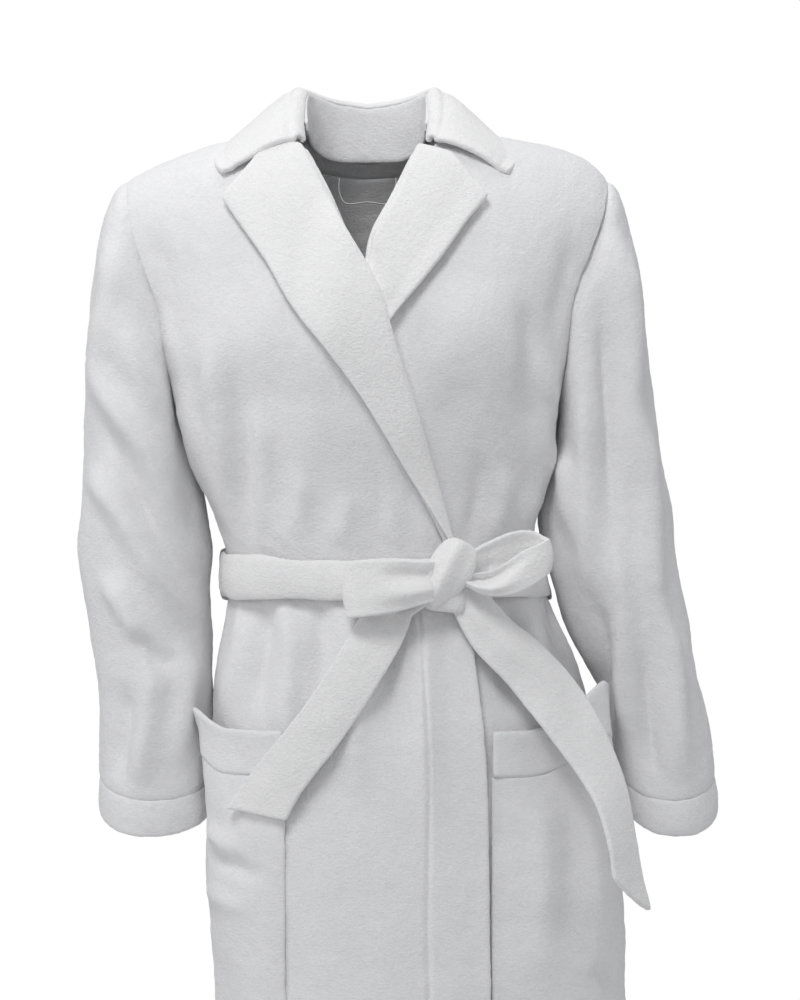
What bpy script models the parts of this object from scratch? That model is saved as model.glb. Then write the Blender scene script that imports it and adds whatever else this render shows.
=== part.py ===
"""Plush hotel bathrobe with a notched collar, set-in sleeves, patch pockets and a tied belt.

The origin lies on the centre line at the height of the shoulder points. +X is the wearer's left,
-Y is the front and +Z is up. Lengths are metres. The robe is held up by shoulders or a hanger.
"""

import math

import bmesh
import bpy
import numpy as np
from mathutils import Matrix, Vector

# Driving dimensions
HEM_Z = -1.15
ARMPIT_Z = -0.21
SHOULDER_X = 0.2245          # centre line to the shoulder point
SHOULDER_RISE = 0.05         # height of the shoulder seam's line above its point, at the centre
ARMHOLE_HALF_DEPTH = 0.062
ROUNDNESS = 2.3              # exponent of the body's horizontal sections
NECK_HALF_WIDTH = 0.068
NECK_DEPTH = 0.055           # centre line back to the neck seam
CLOTH = 0.003
SEAM_GAP = 0.0012            # half of the gap left along a seam between two panels
BELT_TOP, BELT_BOTTOM = -0.342, -0.389
KNOT_PLACE = (0.082, -0.366)
TAIL_TOP_Z = -0.413
CUFF_SEAM_Z, CUFF_END_Z = -0.572, -0.607
POCKET_MOUTH_Z, POCKET_SEAM_Z, POCKET_END_Z = -0.505, -0.545, -0.775
POCKET_SIDE_Y = 0.062        # how far forward of the side seam a pocket ends

# How far each layer's outer face stands off the body form
INNER_FRONT, FACING, OUTER_FRONT, INNER_LAPEL = 0.003, 0.0082, 0.0150, 0.0092
LAPEL_OVER_FRONT = 0.0075     # outer lapel's face past the front that it lies on
POCKET_STAND_OFF = 0.0125    # pocket's outer face past the cloth it is sewn to
BELT_FRONT, BELT_SIDE = 0.0235, 0.011
TAIL_START, TAIL_FINISH = 0.0275, 0.036

# (height, amount) knots of the body form
CENTRE = [(-1.15, 0.040), (-0.756, 0.050), (-0.65, 0.045), (-0.44, 0.0265), (-0.34, 0.011),
          (ARMPIT_Z, 0.0), (0.0, 0.0)]
HALF_WIDTH = [(-1.15, 0.212), (-0.95, 0.198), (-0.756, 0.1865), (-0.65, 0.188), (-0.55, 0.180),
              (-0.44, 0.1635), (-0.40, 0.150), (-0.36, 0.1405), (-0.30, 0.150), (-0.26, 0.163),
              (ARMPIT_Z, 0.175), (-0.171, 0.182), (-0.124, 0.190), (-0.088, 0.203),
              (-0.047, 0.217), (0.0, SHOULDER_X)]
FRONT_DEPTH = [(-1.15, 0.150), (-0.756, 0.135), (-0.60, 0.130), (-0.45, 0.118), (-0.36, 0.104),
               (-0.30, 0.110), (-0.21, 0.130), (-0.15, 0.128), (-0.08, 0.118), (0.0, 0.112)]
BACK_DEPTH = [(-1.15, 0.150), (-0.756, 0.135), (-0.60, 0.133), (-0.50, 0.122), (-0.36, 0.086),
              (-0.21, 0.108), (-0.12, 0.114), (0.0, 0.110)]

# (x, height) knots of the free edges and rolled edges, from the hem up
OUTER_EDGE = [(0.118, HEM_Z), (0.117, -0.70), (0.111, -0.509), (0.103, -0.444), (0.082, -0.367),
              (0.068, -0.296), (0.050, -0.228), (0.0285, -0.163), (0.012, -0.108),
              (-0.0175, -0.055), (-0.0377, -0.012), (-0.058, 0.029), (-0.068, 0.0454)]
INNER_EDGE = [(-0.062, HEM_Z), (-0.055, -0.60), (-0.045, -0.34), (-0.022, -0.20), (0.0, -0.10),
              (0.007, -0.057), (0.025, -0.021), (0.043, 0.018), (0.068, 0.0454)]
OUTER_LAPEL_EDGE = [(0.0715, -0.333), (0.031, -0.259), (0.0138, -0.23), (-0.0285, -0.171),
                    (-0.0616, -0.128), (-0.088, -0.084), (-0.112, -0.0506), (-0.130, -0.025)]
INNER_LAPEL_EDGE = [(0.012, -0.150), (0.029, -0.128), (0.047, -0.106), (0.070, -0.077),
                    (0.094, -0.043), (0.1095, -0.025)]
COLLAR_FOLD = [(0.0, 0.064, 0.078), (0.035, 0.056, 0.080), (0.062, 0.026, 0.083),
               (0.066, -0.006, 0.080), (0.064, -0.034, 0.060), (0.061, -0.050, 0.041)]
COLLAR_EDGE = [(0.0, 0.094, 0.010), (0.060, 0.089, 0.014), (0.112, 0.060, 0.030),
               (0.131, 0.010, 0.046), (0.137, -0.040, 0.032), (0.140, -0.070, 0.004)]

# (height, centre x, half width) of each sleeve's lower sections
RIGHT_SLEEVE = [(-0.26, -0.2113, 0.0443), (-0.30, -0.2080, 0.050), (-0.36, -0.2040, 0.055),
                (-0.44, -0.1975, 0.0485), (-0.50, -0.1965, 0.0445), (CUFF_END_Z, -0.197, 0.045)]
LEFT_SLEEVE = [(-0.26, 0.2223, 0.0463), (-0.30, 0.2215, 0.0535), (-0.36, 0.2295, 0.0545),
               (-0.40, 0.2390, 0.052), (-0.44, 0.2480, 0.049), (-0.50, 0.2610, 0.047),
               (-0.55, 0.2700, 0.047), (CUFF_END_Z, 0.276, 0.044)]
SLEEVE_HALF_DEPTH = [(-0.607, 0.062), (-0.44, 0.066), (-0.26, 0.070)]
SLEEVE_CENTRE_Y = 0.012

# Heights of the rows that every layer of the body shares
BODY_ROWS = [HEM_Z, -0.95, -0.80, -0.70, -0.62, -0.55, -0.49, -0.445, -0.41, -0.389, -0.366,
             -0.342, -0.315, -0.28, -0.245, ARMPIT_Z]

PLUSH = (0.86, 0.87, 0.88)
PILE = (0.90, 0.90, 0.89)
BINDING = (0.80, 0.80, 0.79)


def cleared_scene():
    """Empties the scene and gives it the robe's own collection."""
    for thing in list(bpy.data.objects):
        bpy.data.objects.remove(thing, do_unlink=True)
    robe = bpy.data.collections.new("bathrobe")
    bpy.context.scene.collection.children.link(robe)
    return robe


def eased(place, knots):
    """A smooth cubic through (place, amount) knots, level beyond the first and the last."""
    places = np.array([k[0] for k in knots], float)
    amounts = np.array([k[1] for k in knots], float)
    slopes = np.gradient(amounts, places)
    place = np.clip(place, places[0], places[-1])
    i = np.clip(np.searchsorted(places, place) - 1, 0, len(places) - 2)
    span = places[i + 1] - places[i]
    t = (place - places[i]) / span
    low = (1 + 2 * t) * (1 - t) ** 2 * amounts[i] + t * (1 - t) ** 2 * span * slopes[i]
    high = t * t * (3 - 2 * t) * amounts[i + 1] + t * t * (t - 1) * span * slopes[i + 1]
    return low + high


def ramp(value, start, end):
    """0 before start, 1 after end and smooth between them."""
    t = np.clip((value - start) / (end - start), 0.0, 1.0)
    return t * t * (3 - 2 * t)


def shoulder_line(x):
    """Height of the shoulder seam over a point of the chest or the back."""
    return SHOULDER_RISE * (1 - (x / SHOULDER_X) ** 2)


def row_of(x, z):
    """The row that a point seen from the front lies on. Rows are level up to the armpit, and from
    there they bend to follow the shoulder seam. A row is named by its height at the armhole."""
    share = (z - ARMPIT_Z) / (shoulder_line(x) - ARMPIT_Z)
    return np.where(z < ARMPIT_Z, z, ARMPIT_Z * (1 - share))


def section(row, depths):
    """Centre, half width, depth and edge of the body at a row: a superellipse, whose depth falls
    to nothing at the shoulder seam, and which passes through the armhole's edge."""
    share = np.clip((row - ARMPIT_Z) / -ARMPIT_Z, 0.0, 1.0)
    depth = eased(row, depths) * np.sqrt(np.maximum(1 - share ** 3, 1e-10))
    edge = ARMHOLE_HALF_DEPTH * np.sqrt(np.clip(1 - (2 * share - 1) ** 2, 0.0, 1.0))
    edge = np.where(share > 0, edge, 0.0)
    within = (1 - (edge / depth) ** ROUNDNESS) ** (1 / ROUNDNESS)
    return eased(row, CENTRE), eased(row, HALF_WIDTH) / within, depth, edge


def body_grid(rows, turns, depths, side):
    """Points of the body form at rows and turns, where a turn of 0 is the wearer's left side and
    pi the right. side is -1 for the front and 1 for the back."""
    centre, half, depth, _ = section(rows, depths)
    power = 2 / ROUNDNESS
    across = np.sign(np.cos(turns)) * np.abs(np.cos(turns)) ** power
    x = centre + half * across
    y = side * depth * np.abs(np.sin(turns)) ** power
    share = np.clip((rows - ARMPIT_Z) / -ARMPIT_Z, 0.0, 1.0)
    z = np.where(rows < ARMPIT_Z, rows, ARMPIT_Z + share * (shoulder_line(x) - ARMPIT_Z))
    return np.stack([x, y, z], axis=-1)


def turn_at_x(rows, x, depths):
    """The turn at which a row has this x."""
    centre, half, _, _ = section(rows, depths)
    across = np.clip((x - centre) / half, -1.0, 1.0)
    return np.arccos(np.sign(across) * np.abs(across) ** (ROUNDNESS / 2))


def turn_at_edge(rows, depths, gap):
    """The turn, from the side, at which a row meets the armhole or the side seam, less a gap."""
    _, _, depth, edge = section(rows, depths)
    seam = gap * (1 - ramp(rows, ARMPIT_Z, 0.9 * ARMPIT_Z))
    return np.arcsin(np.clip((edge + seam) / depth, 0.0, 1.0) ** (ROUNDNESS / 2))


def front_y(x, z):
    """How far forward the body form lies at a point seen from the front."""
    centre, half, depth, _ = section(row_of(x, z), FRONT_DEPTH)
    across = np.clip(np.abs(x - centre) / half, 0.0, 1.0)
    return -depth * (1 - across ** ROUNDNESS) ** (1 / ROUNDNESS)


def stood_off(points, distance, outward=None):
    """A grid of points moved along its own normals, away from the body's middle."""
    along, across = np.gradient(points, axis=0), np.gradient(points, axis=1)
    normal = np.cross(along, across)
    normal /= np.maximum(np.linalg.norm(normal, axis=-1, keepdims=True), 1e-12)
    if outward is None:
        outward = points * (1.0, 1.0, 0.0)
    if np.sum(normal * outward) < 0:
        normal = -normal
    return points + normal * np.asarray(distance)[..., None]


def material(name, colour, roughness):
    """A plain Principled finish."""
    made = bpy.data.materials.new(name)
    made.use_nodes = True
    shader = made.node_tree.nodes["Principled BSDF"]
    shader.inputs["Base Color"].default_value = (*colour, 1.0)
    shader.inputs["Roughness"].default_value = roughness
    shader.inputs["Metallic"].default_value = 0.0
    return made


def placed(robe, name, mesh, colour):
    """Puts a finished mesh into the robe's collection under its own name and finish."""
    thing = bpy.data.objects.new(name, mesh)
    thing.data.materials.append(material(name + "_finish", colour, 0.95))
    robe.objects.link(thing)
    return thing


def shell(robe, name, points, thickness, colour=PLUSH, closed=False, outward=None):
    """A sheet over a grid of points, given its thickness inwards by Solidify."""
    rows, columns = points.shape[:2]
    index = np.arange(rows * columns).reshape(rows, columns)
    if closed:
        index = np.concatenate([index, index[:, :1]], axis=1)
    quads = np.stack([index[:-1, :-1], index[1:, :-1], index[1:, 1:], index[:-1, 1:]], axis=-1)
    along, across = np.gradient(points, axis=0), np.gradient(points, axis=1)
    normal = np.cross(along, across)
    away = points * (1.0, 1.0, 0.0) if outward is None else outward
    if np.sum(normal * away) < 0:
        quads = quads[..., ::-1]
    mesh = bpy.data.meshes.new(name)
    mesh.from_pydata(points.reshape(-1, 3).tolist(), [], quads.reshape(-1, 4).tolist())
    mesh.validate()
    thing = placed(robe, name, mesh, colour)
    mesh.shade_smooth()
    wall = thing.modifiers.new("thickness", "SOLIDIFY")
    wall.thickness = thickness
    wall.offset = -1.0
    wall.use_even_offset = False
    return thing


def panel_rows():
    """Rows of a panel up to the shoulder seam, close together at the waist and where the shoulder
    rounds over."""
    share = np.array([0.25, 0.45, 0.62])
    depth_left = np.array([0.78, 0.62, 0.42, 0.2, 0.012])
    return np.concatenate([BODY_ROWS, ARMPIT_Z * (1 - share),
                           ARMPIT_Z * (1 - (1 - depth_left ** 2) ** (1 / 3))])


def edge_x(rows, knots):
    """x of a front's free edge at each row."""
    return eased(rows, sorted((float(row_of(x, z)), x) for x, z in knots))


def front_panel(robe, name, side, knots, stand_off, columns):
    """One front, from its side seam and armhole to its free edge. side is -1 for the wearer's
    right. stand_off gives the outer face's distance from the body form at each x."""
    rows = panel_rows()[:, None]
    edge = turn_at_edge(rows, FRONT_DEPTH, SEAM_GAP)
    start = np.pi - edge if side < 0 else edge
    end = turn_at_x(rows, edge_x(rows, knots), FRONT_DEPTH)
    turns = start + (end - start) * np.linspace(0, 1, columns)[None, :]
    points = body_grid(rows, turns, FRONT_DEPTH, -1)
    return shell(robe, name, stood_off(points, stand_off(points[..., 0], rows)), CLOTH)


def outer_stand_off(x, rows):
    """The overlapping front lies flat on its side and rises over the front beneath it."""
    past = x - edge_x(rows, INNER_EDGE)
    return INNER_FRONT + (OUTER_FRONT - INNER_FRONT) * ramp(past, -0.065, -0.012)


def inner_stand_off(x, rows):
    """The front beneath lies on the body form all over."""
    return INNER_FRONT + 0 * x


def back_panel(robe):
    """The back in one piece, with its neck cut out."""
    rows = panel_rows()[:, None]
    edge = turn_at_edge(rows, BACK_DEPTH, SEAM_GAP)
    turns = edge + (np.pi - 2 * edge) * np.linspace(0, 1, 21)[None, :]
    points = body_grid(rows, turns, BACK_DEPTH, 1)
    points = neck_cut(points, rows, turns)
    return shell(robe, "back_panel", stood_off(points, np.full(points.shape[:2], INNER_FRONT)), CLOTH)


def neck_cut(points, rows, turns):
    """Lowers the rows near the top so that the last one follows the neck seam: an ellipse in plan
    of NECK_HALF_WIDTH by NECK_DEPTH."""
    share = np.clip((rows - ARMPIT_Z) / -ARMPIT_Z, 0.0, 1.0)
    for _ in range(4):
        x = points[..., 0]
        neck = NECK_DEPTH * np.sqrt(np.clip(1 - (x / NECK_HALF_WIDTH) ** 2, 0.0, 1.0))
        centre, half, _, _ = section(rows, BACK_DEPTH)
        across = np.clip(np.abs(x - centre) / half, 0.0, 0.999)
        full = eased(rows, BACK_DEPTH) * (1 - across ** ROUNDNESS) ** (1 / ROUNDNESS)
        left = np.clip(neck / full, 0.0, 0.999)
        top = (1 - left ** 2) ** (1 / 3)
        lowered = ARMPIT_Z * (1 - share * np.where(share > 0, top, 1.0))
        points = body_grid(np.where(rows < ARMPIT_Z, rows, lowered), turns, BACK_DEPTH, 1)
    return points


def front_facing(robe, name, knots, width, inset, stand_off, side, highest):
    """A band of cloth sewn along the inside of a front's free edge."""
    rows = np.array([HEM_Z + 0.004] + [r for r in BODY_ROWS[1:] if r < highest] + [highest])[:, None]
    free = edge_x(rows, knots) + side * inset
    x = free + side * width * np.linspace(0, 1, 3)[None, :]
    points = np.stack([x, front_y(x, rows + 0 * x), rows + 0 * x], axis=-1)
    return shell(robe, name, stood_off(points, np.full(x.shape, stand_off)), CLOTH - 0.0003)


def lapel(robe, name, roll, edge, lift, notch, count):
    """A lapel, folded back from its rolled edge. Its top side runs out to the notch and on to the
    tip. roll and edge are (x, height) knots from the bottom up."""
    along = np.linspace(0, 1, count)
    fold = np.array([[eased(s, measured(roll, 0)), eased(s, measured(roll, 1))] for s in along])
    free = np.array([[eased(s, measured(edge, 0)), eased(s, measured(edge, 1))] for s in along])
    out = np.linspace(0, 1, 5)
    flat = fold[:, None] + (free - fold)[:, None] * out[None, :, None]
    peak = np.interp(out, [0, notch, 1], [0, lift, 0])
    flat[..., 1] += peak[None, :] * np.clip((along[:, None] - 0.8) / 0.2, 0, 1)
    x, z = flat[..., 0], flat[..., 1]
    points = np.stack([x, front_y(x, z), z], axis=-1)
    over = outer_stand_off(x, row_of(x, z)) + LAPEL_OVER_FRONT
    stand_off = over if name == "right_lapel" else INNER_LAPEL + 0 * x
    return shell(robe, name, stood_off(points, stand_off), 0.005, PILE)


def measured(knots, axis):
    """Knots as (share of the whole length, one coordinate)."""
    places = np.array(knots, float)
    steps = np.linalg.norm(np.diff(places, axis=0), axis=1)
    share = np.concatenate([[0], np.cumsum(steps)]) / steps.sum()
    return list(zip(share, places[:, axis]))


def collar_curve(knots, count):
    """A symmetric curve through the knots, from the wearer's left front round the back."""
    half = np.array([[eased(s, measured(knots, a)) for a in range(3)]
                     for s in np.linspace(0, 1, count)])
    other = half[:0:-1] * (-1, 1, 1)
    return np.concatenate([other, half])


def collar(robe):
    """The leaf falls from the fold on to the shoulders, and the stand rises inside it."""
    fold, edge = collar_curve(COLLAR_FOLD, 9), collar_curve(COLLAR_EDGE, 9)
    down = np.linspace(0, 1, 5)[None, :, None]
    leaf = fold[:, None] + (edge - fold)[:, None] * down
    away = (fold + (0, 0.01, -0.5)) * (1, 1, 0)
    away = away / np.linalg.norm(away, axis=1, keepdims=True)
    swell = 0.016 * np.sin(np.pi * down ** 0.7)
    leaf = leaf + away[:, None] * swell * (1, 1, 0) + swell * (0, 0, 0.7)
    shell(robe, "collar_leaf", leaf, 0.005, PILE, outward=away[:, None] + leaf * (0, 0, 3.0))
    foot = fold * (1.0, 0.9, 0) + (0, -0.002, 0)
    foot[:, 2] = 0.052 - 0.015 * (foot[:, 1] > 0.03)
    inset = fold - away * 0.0095 - (0, 0, 0.006)
    foot = foot - away * 0.0095
    keep = slice(3, -3)
    rise = np.linspace(0, 1, 3)[None, :, None]
    stand = foot[keep, None] + (inset - foot)[keep, None] * rise
    shell(robe, "collar_stand", stand, CLOTH, outward=np.repeat(away[keep, None], 3, axis=1))


def back_neck_facing(robe):
    """A shaped lining piece under the back neck seam, inside the back."""
    x = np.linspace(-0.062, 0.062, 9)[None, :]
    share = np.linspace(0.0, 1.0, 6)[:, None]
    low = -0.075 + 0.035 * (x / 0.062) ** 2
    high = 0.016 + 0.010 * (x / 0.062) ** 2
    z = low + (high - low) * share
    centre, half, depth, _ = section(row_of(x + 0 * z, z), BACK_DEPTH)
    across = np.clip(np.abs(x - centre) / half, 0.0, 1.0)
    y = depth * (1 - across ** ROUNDNESS) ** (1 / ROUNDNESS)
    points = np.stack([x + 0 * z, y, z], axis=-1)
    shell(robe, "back_neck_facing", stood_off(points, np.full(z.shape, -0.0025)), 0.0025)


def sleeve_rings(side, lower):
    """Rings of a sleeve from the armhole to the cuff. Each ring's outer point comes from the
    shoulder point and its inner one from the armpit. Cubic paths lead from the armhole down to
    the first level ring."""
    turn = np.linspace(0, 2 * np.pi, 18, endpoint=False)
    rise = (1 + np.cos(turn)) / 2
    z = ARMPIT_Z * (1 - rise)
    start = np.stack([side * (eased(z, HALF_WIDTH) + 0.004),
                      ARMHOLE_HALF_DEPTH * np.sin(turn), z + 0.003 * rise], axis=-1)
    rings = []
    height, centre, half = lower[0]
    first = level_ring(turn, side, height, centre, half)
    lead = np.stack([side * (0.034 * rise + 0.004), 0 * z, -0.018 - 0.02 * (1 - rise)], axis=-1)
    tail = np.stack([0 * z, 0 * z, 0.02 + 0.11 * rise], axis=-1)
    for t in (0.0, 0.12, 0.26, 0.42, 0.6, 0.8):
        b = [(1 - t) ** 3, 3 * t * (1 - t) ** 2, 3 * t * t * (1 - t), t ** 3]
        rings.append(b[0] * start + b[1] * (start + lead) + b[2] * (first + tail) + b[3] * first)
    for height in (-0.26, -0.31, -0.36, -0.41, -0.46, -0.515, CUFF_SEAM_Z):
        ordered = sorted(lower)
        centre = eased(height, [(h, c) for h, c, _ in ordered])
        half = eased(height, [(h, w) for h, _, w in ordered])
        rings.append(level_ring(turn, side, height, centre, half))
    return np.array(rings)


def level_ring(turn, side, height, centre, half):
    """A level oval section of a sleeve."""
    x = centre + side * half * np.cos(turn)
    y = SLEEVE_CENTRE_Y + eased(height, SLEEVE_HALF_DEPTH) * np.sin(turn)
    return np.stack([x, y, np.full(len(turn), height)], axis=-1)


def sleeve(robe, name, side, lower):
    """A set-in sleeve and its turned cuff hem, hung from an empty at the shoulder point."""
    rings = sleeve_rings(side, lower)
    away = rings - rings.mean(axis=1, keepdims=True)
    tube = shell(robe, name + "_sleeve", rings, CLOTH, closed=True, outward=away)
    ordered = sorted(lower)
    hem = []
    turn = np.linspace(0, 2 * np.pi, 18, endpoint=False)
    for height in (CUFF_SEAM_Z - 0.0005, CUFF_END_Z):
        centre = eased(height, [(h, c) for h, c, _ in ordered])
        half = eased(height, [(h, w) for h, _, w in ordered])
        hem.append(level_ring(turn, side, height, centre, half + 0.001))
    hem = np.array(hem)
    away = hem - hem.mean(axis=1, keepdims=True)
    cuff = shell(robe, name + "_cuff_hem", hem, 0.006, closed=True, outward=away)
    pivot = empty(name + "_shoulder_pivot", (side * (SHOULDER_X + 0.004), 0.0, 0.003))
    hang(tube, pivot)
    hang(cuff, pivot)


def empty(name, place):
    """An empty that marks a joint's axis."""
    mark = bpy.data.objects.new(name, None)
    mark.location = place
    bpy.context.scene.collection.objects.link(mark)
    return mark


def hang(thing, parent):
    """Parents a piece to its pivot and leaves it where it is."""
    thing.parent = parent
    thing.matrix_parent_inverse = Matrix.Translation(-Vector(parent.location))


def pocket(robe, name, side, inner_x):
    """A patch pocket and the band round its mouth, which stands off at the side."""
    bands = (("_pocket_band", POCKET_MOUTH_Z, POCKET_SEAM_Z + 0.0005, 3, 0.004),
             ("_pocket", POCKET_SEAM_Z, POCKET_END_Z, 7, CLOTH))
    for suffix, top, bottom, count, thickness in bands:
        rows = np.linspace(bottom, top, count)[:, None]
        _, _, depth, _ = section(rows, FRONT_DEPTH)
        edge = np.arcsin((POCKET_SIDE_Y / depth) ** (ROUNDNESS / 2))
        start = np.pi - edge if side < 0 else edge
        end = turn_at_x(rows, inner_x, FRONT_DEPTH)
        out = np.linspace(0, 1, 8)[None, :]
        turns = start + (end - start) * out
        points = body_grid(rows, turns, FRONT_DEPTH, -1)
        base = outer_stand_off(points[..., 0], rows) if side < 0 else INNER_FRONT
        flare = 0.009 * (1 - ramp(out, 0.0, 0.55)) * ramp(rows, -0.64, POCKET_MOUTH_Z)
        sewn = POCKET_STAND_OFF * (1 - 0.45 * ramp(out, 0.8, 1.0))
        shell(robe, name + suffix, stood_off(points, base + sewn + flare + 0 * points[..., 0]),
              thickness)


def belt_stand_off(points):
    """The belt's outer face: further out in front, where it crosses both fronts."""
    x, y = points[..., 0], points[..., 1]
    front = ramp(x, -0.125, -0.085) * (1 - ramp(x, 0.125, 0.150)) * ramp(-y, 0.0, 0.04)
    return BELT_SIDE + (BELT_FRONT - BELT_SIDE) * front


def belt_band(robe):
    """The belt where it goes round the waist."""
    rows = np.linspace(BELT_BOTTOM, BELT_TOP, 3)[:, None]
    quarter = np.linspace(0, np.pi, 25)[None, :]
    front = body_grid(rows, quarter, FRONT_DEPTH, -1)
    back = body_grid(rows, quarter[:, ::-1], BACK_DEPTH, 1)
    ring = np.concatenate([front, back[:, 1:-1]], axis=1)
    wide = np.concatenate([ring[:, -1:], ring, ring[:, :1]], axis=1)
    stood = stood_off(wide, belt_stand_off(wide))[:, 1:-1]
    return shell(robe, "belt_band", stood, 0.005, PILE, closed=True)


def front_place(x, z, distance):
    """A point this far off the body form's front, and the form's normal there."""
    grid = np.array([[[a, float(front_y(a, c)), c] for a in (x - 0.004, x, x + 0.004)]
                     for c in (z - 0.004, z, z + 0.004)])
    moved = stood_off(grid, np.full((3, 3), distance))[1, 1]
    return moved, (moved - grid[1, 1]) / distance


def belt_knot(robe):
    """The wrapped knot, a leaning egg with a band over it."""
    place, _ = front_place(*KNOT_PLACE, BELT_FRONT + 0.0185)
    bpy.ops.mesh.primitive_uv_sphere_add(segments=16, ring_count=10, radius=1.0)
    ball = bpy.context.object
    mesh = ball.data
    bpy.data.objects.remove(ball)
    for v in mesh.vertices:
        x, y, z = v.co
        ridge = 1 + 0.10 * math.exp(-((x + 0.2) / 0.45) ** 2)
        v.co = (0.0235 * x, 0.0165 * y * ridge, 0.031 * z * ridge)
    mesh.transform(Matrix.Translation(place) @ Matrix.Rotation(math.radians(-18), 4, "Y"))
    mesh.shade_smooth()
    placed(robe, "belt_knot", mesh, PILE)


def bow_loop(robe, name, near, far, near_height, far_height):
    """A loop of belt that folds back to the knot. Its plan is a drawn-out oval, narrow at the
    knot, and it is open above and below. near and far are (x, height) of its two ends."""
    turn = np.linspace(0, 2 * np.pi, 22, endpoint=False)
    share = (1 - np.cos(turn)) / 2
    depth = (0.0080 + 0.0050 * share) * np.sign(np.sin(turn)) * np.abs(np.sin(turn)) ** 0.8
    x = near[0] + (far[0] - near[0]) * share
    middle = near[1] + (far[1] - near[1]) * share
    height = near_height + (far_height - near_height) * share
    held = np.clip(x, -0.02, 0.108)
    y = front_y(held, middle) - BELT_FRONT - 0.0165 - depth
    ring = np.stack([np.stack([x, y, middle + up * height], axis=-1) for up in (-0.5, 0.5)])
    away = ring - ring.mean(axis=1, keepdims=True)
    loop = shell(robe, name, ring, 0.0032, PILE, closed=True, outward=away * (1, 1, 0))
    pivot = empty(name + "_pivot", (near[0], float(y.mean()), near[1]))
    hang(loop, pivot)


def belt_tail(robe, name, line, widths, held_in):
    """A hanging end of the belt. line is (x, height) from the top down, widths the width across
    at the same knots, and held_in the x past which it no longer follows the body."""
    count = 11
    s = np.linspace(0, 1, count)
    middle_x = eased(s, measured(line, 0))
    middle_z = eased(s, measured(line, 1))
    width = np.interp(s, np.linspace(0, 1, len(widths)), widths)
    run = np.stack([np.gradient(middle_x), np.gradient(middle_z)], axis=-1)
    run /= np.linalg.norm(run, axis=1, keepdims=True)
    square = ramp(s, 0.0, 0.12)[:, None]
    cross = (1 - square) * np.array([[1.0, 0.0]]) + square * np.stack([-run[:, 1], run[:, 0]], axis=-1)
    cross *= np.sign(cross[:, :1])
    out = np.linspace(-0.5, 0.5, 4)[None, :, None]
    flat = np.stack([middle_x, middle_z], axis=-1)[:, None] + cross[:, None] * out * width[:, None, None]
    x, z = flat[..., 0], flat[..., 1]
    support = np.clip(x, held_in[0], held_in[1])
    points = np.stack([x, front_y(support, z), z], axis=-1)
    distance = TAIL_START + (TAIL_FINISH - TAIL_START) * s[:, None] + 0 * x
    points = stood_off(points, distance)
    points[0, :, 2] = TAIL_TOP_Z
    points[0, :, 1] = points[0, :, 1].min()
    tail = shell(robe, name, points, 0.005, PILE)
    pivot = empty(name + "_pivot", (float(middle_x[0]), float(points[0, :, 1].min()) + 0.0025, TAIL_TOP_Z))
    hang(tail, pivot)


def outline_plate(robe, name, corners, thickness, placing, colour):
    """A flat outline with a thickness: a filled curve made a closed mesh and set in its place."""
    curve = bpy.data.curves.new(name, "CURVE")
    curve.dimensions = "2D"
    curve.fill_mode = "BOTH"
    curve.extrude = thickness / 2
    line = curve.splines.new("POLY")
    line.points.add(len(corners) - 1)
    for point, (a, b) in zip(line.points, corners):
        point.co = (a, b, 0.0, 1.0)
    line.use_cyclic_u = True
    holder = bpy.data.objects.new(name, curve)
    bpy.context.scene.collection.objects.link(holder)
    bpy.context.view_layer.update()
    mesh = bpy.data.meshes.new_from_object(holder.evaluated_get(bpy.context.evaluated_depsgraph_get()))
    bpy.data.objects.remove(holder)
    mesh.name = name
    welded = placed(robe, name, mesh, colour)
    weld(mesh)
    mesh.transform(placing)
    return welded


def weld(mesh):
    """Joins the loose caps of a curve's mesh to its sides."""
    work = bmesh.new()
    work.from_mesh(mesh)
    bmesh.ops.remove_doubles(work, verts=work.verts, dist=1e-6)
    bmesh.ops.recalc_face_normals(work, faces=work.faces)
    work.to_mesh(mesh)
    work.free()


def hanging_loop(robe):
    """A ribbon loop sewn under the back neck. It hangs down inside and flips up over a hook."""
    reach, drop, strip = 0.030, 0.026, 0.005
    corners = [(-reach, 0), (-reach, -drop), (reach, -drop), (reach, 0), (reach - strip, 0),
               (reach - strip, -drop + strip), (-reach + strip, -drop + strip), (-reach + strip, 0)]
    place = (0.0, 0.042, 0.012)
    standing = Matrix.Translation(place) @ Matrix.Rotation(math.radians(90), 4, "X")
    loop = outline_plate(robe, "hanging_loop", corners, 0.0024, standing, BINDING)
    pivot = empty("hanging_loop_pivot", place)
    hang(loop, pivot)


def belt_carrier(robe, name, side):
    """A narrow loop sewn at the side seam, which the belt runs through."""
    ends = np.array([-0.333, -0.3985])
    seam = eased(ends, CENTRE) + side * eased(ends, HALF_WIDTH)
    gap, reach, strip = side * 0.0055, side * 0.0146, 0.0022
    (top, bottom), (high, low) = seam, ends
    corners = [(top + gap, high), (top + reach, high), (bottom + reach, low), (bottom + gap, low),
               (bottom + gap, low + strip), (bottom + reach - side * strip, low + strip),
               (top + reach - side * strip, high - strip), (top + gap, high - strip)]
    standing = Matrix.Rotation(math.radians(90), 4, "X")
    outline_plate(robe, name, corners, 0.008, standing, PLUSH)


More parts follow.
